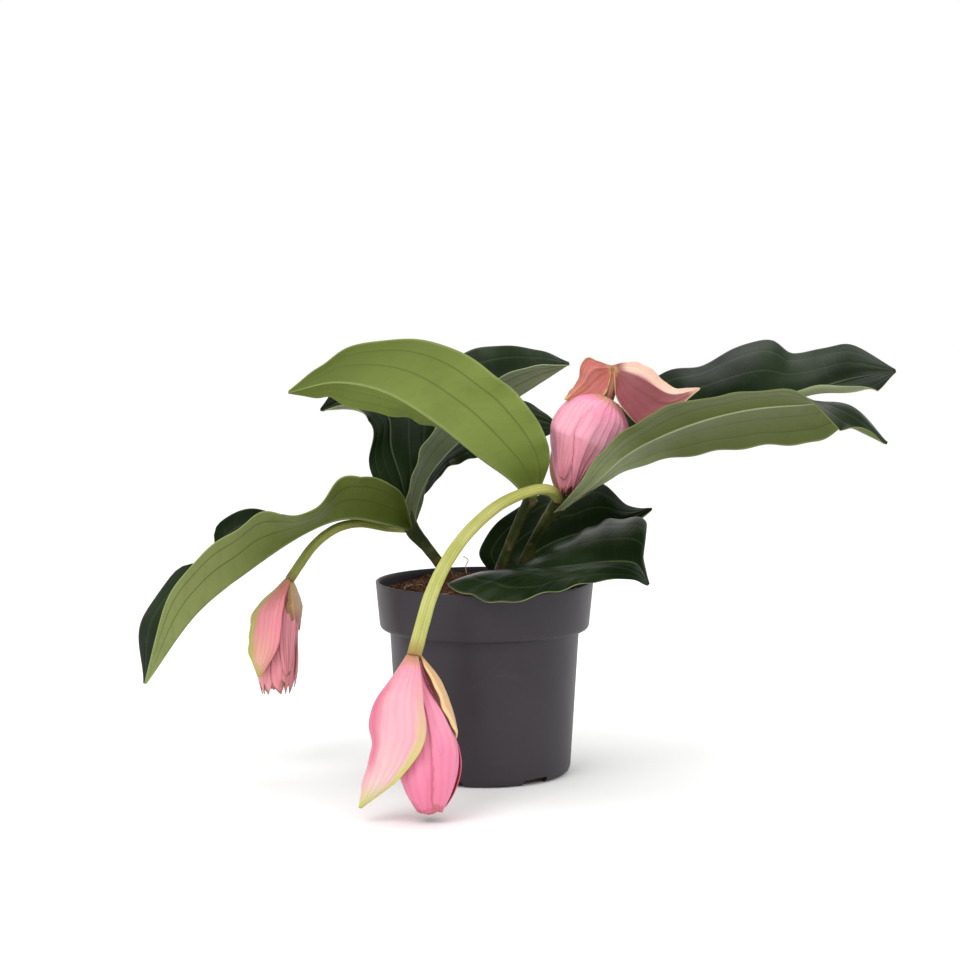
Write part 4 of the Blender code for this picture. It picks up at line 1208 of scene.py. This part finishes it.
def dress(obj, materials, slot, *nodes):
    """Gives a piece its materials, keeping which face has which, and says what it replaces."""
    if materials:
        sides = np.zeros(len(obj.data.polygons), np.int32)
        obj.data.polygons.foreach_get("material_index", sides)
        obj.data.materials.clear()
        for found in materials:
            obj.data.materials.append(found)
        obj.data.polygons.foreach_set("material_index", np.minimum(sides, len(materials) - 1))
    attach(obj, "root")
    if nodes:
        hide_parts(*nodes)


def paint(obj, found):
    obj.data.materials.clear()
    obj.data.materials.append(found)


# Build

def make_leaves():
    upper = leaf_upper_material()
    for name, (midrib, left, right, wave) in LEAVES.items():
        lower = leaf_lower_material(name + "_underside", *UNDERSIDES.get(name, UNDERSIDES["other"]))
        obj = make_leaf(name, (midrib, left, right), wave)
        dress(obj, [upper, lower], "leaf_green", name)


def make_bracts(looks):
    for index, (name, lines) in enumerate(OUTER_BRACTS.items()):
        obj = make_bract(name + "_petal", lines, SEED + index)
        dress(obj, [looks[side] for side in BRACT_SIDES[name]], "outer_bract_pink", name)


def make_heads(looks):
    rng = random.Random(SEED)
    for name, (axis, radii, first, span, taper_start, teeth) in HEADS.items():
        pink = looks["inner_bract_" + name]
        parts = []
        for k in range(INNER_BRACTS):
            turn = math.radians(first) + TAU * k / INNER_BRACTS
            parts.append(make_inner_bract("petal", axis, radii, turn, span, taper_start, teeth, 1, rng))
        for degrees, half_span, reach, grow in SHORT_BRACTS[name]:
            wider = [radius + grow for radius in radii]
            turn = math.radians(degrees)
            parts.append(make_inner_bract("petal", axis, wider, turn, half_span, SHORT_TAPER_START,
                                          SHORT_TEETH, reach, rng))
        for part in parts:
            part.data.materials.append(pink)
            part.data.materials.append(pink)
        head = join(parts, "inner_bracts_" + name + "_petals")
        dress(head, [], "inner_bract_pink", "inner_bracts_" + name)


def make_stalks():
    bark = stem_material()
    for name, (points, radii) in STEMS.items():
        obj = make_tube(name + "_bark", points, radii, *STEM_MESH)
        dress(obj, [bark], "stem_green", name)
    for name, (points, radii) in PEDUNCLES.items():
        obj = make_tube(name + "_stalk", points, radii, *STALK_MESH)
        dress(obj, [stalk_material(*STALK_LOOKS[name])], "peduncle_green", name)


def make_pot_and_soil():
    rng = random.Random(SEED)
    dress(make_pot(), [pot_material()], "pot_plastic", "pot")
    soil = soil_material()
    dress(make_soil_top(rng), [soil], "soil")
    dress(make_crumbs(rng), [crumb_material()], "soil")
    dress(make_fibres(rng), [fibre_material()], "soil")
    return soil


def dress_kept_nodes(frame, soil, buds):
    for name, obj in frame["nodes"].items():
        if name.startswith("flower_buds"):
            paint(obj, buds)
    paint(frame["nodes"]["soil"], soil)


def make_camera():
    data = bpy.data.cameras.new("camera")
    data.sensor_width = SENSOR_MM
    data.lens = CAMERA_LENS_MM
    data.clip_start = CAMERA_NEAR
    camera = bpy.data.objects.new("camera", data)
    camera.location = CAMERA_PLACE
    camera.rotation_euler = (math.radians(90 - CAMERA_PITCH_DEG), 0, 0)
    bpy.context.scene.collection.objects.link(camera)
    bpy.context.scene.camera = camera


def make_studio():
    scene = bpy.context.scene
    bpy.ops.mesh.primitive_plane_add(size=FLOOR_SIZE, location=(0, 0, 0))
    floor = bpy.context.object
    floor.name = "floor"
    white = Nodes("floor", 0.9, specular=0.1)
    white.colour(FLOOR_WHITE)
    floor.data.materials.append(white.material)

    world = bpy.data.worlds.new("studio")
    scene.world = world
    world.use_nodes = True
    background = world.node_tree.nodes["Background"]
    background.inputs["Color"].default_value = (1, 1, 1, 1)
    background.inputs["Strength"].default_value = SURROUND_STRENGTH
    scene.view_settings.view_transform = "Standard"
    for name, place, size, power in LIGHTS:
        light = bpy.data.lights.new(name, "AREA")
        light.size = size
        light.energy = power
        lamp = bpy.data.objects.new(name, light)
        lamp.location = place
        lamp.rotation_euler = (LIGHT_TARGET - Vector(place)).to_track_quat("-Z", "Y").to_euler()
        scene.collection.objects.link(lamp)


def main():
    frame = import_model()
    make_camera()
    make_studio()
    looks = {name: bract_material(name, **look) for name, look in BRACT_LOOKS.items()}
    make_leaves()
    make_bracts(looks)
    make_heads(looks)
    make_stalks()
    soil = make_pot_and_soil()
    dress_kept_nodes(frame, soil, looks["flower_bud"])


main()
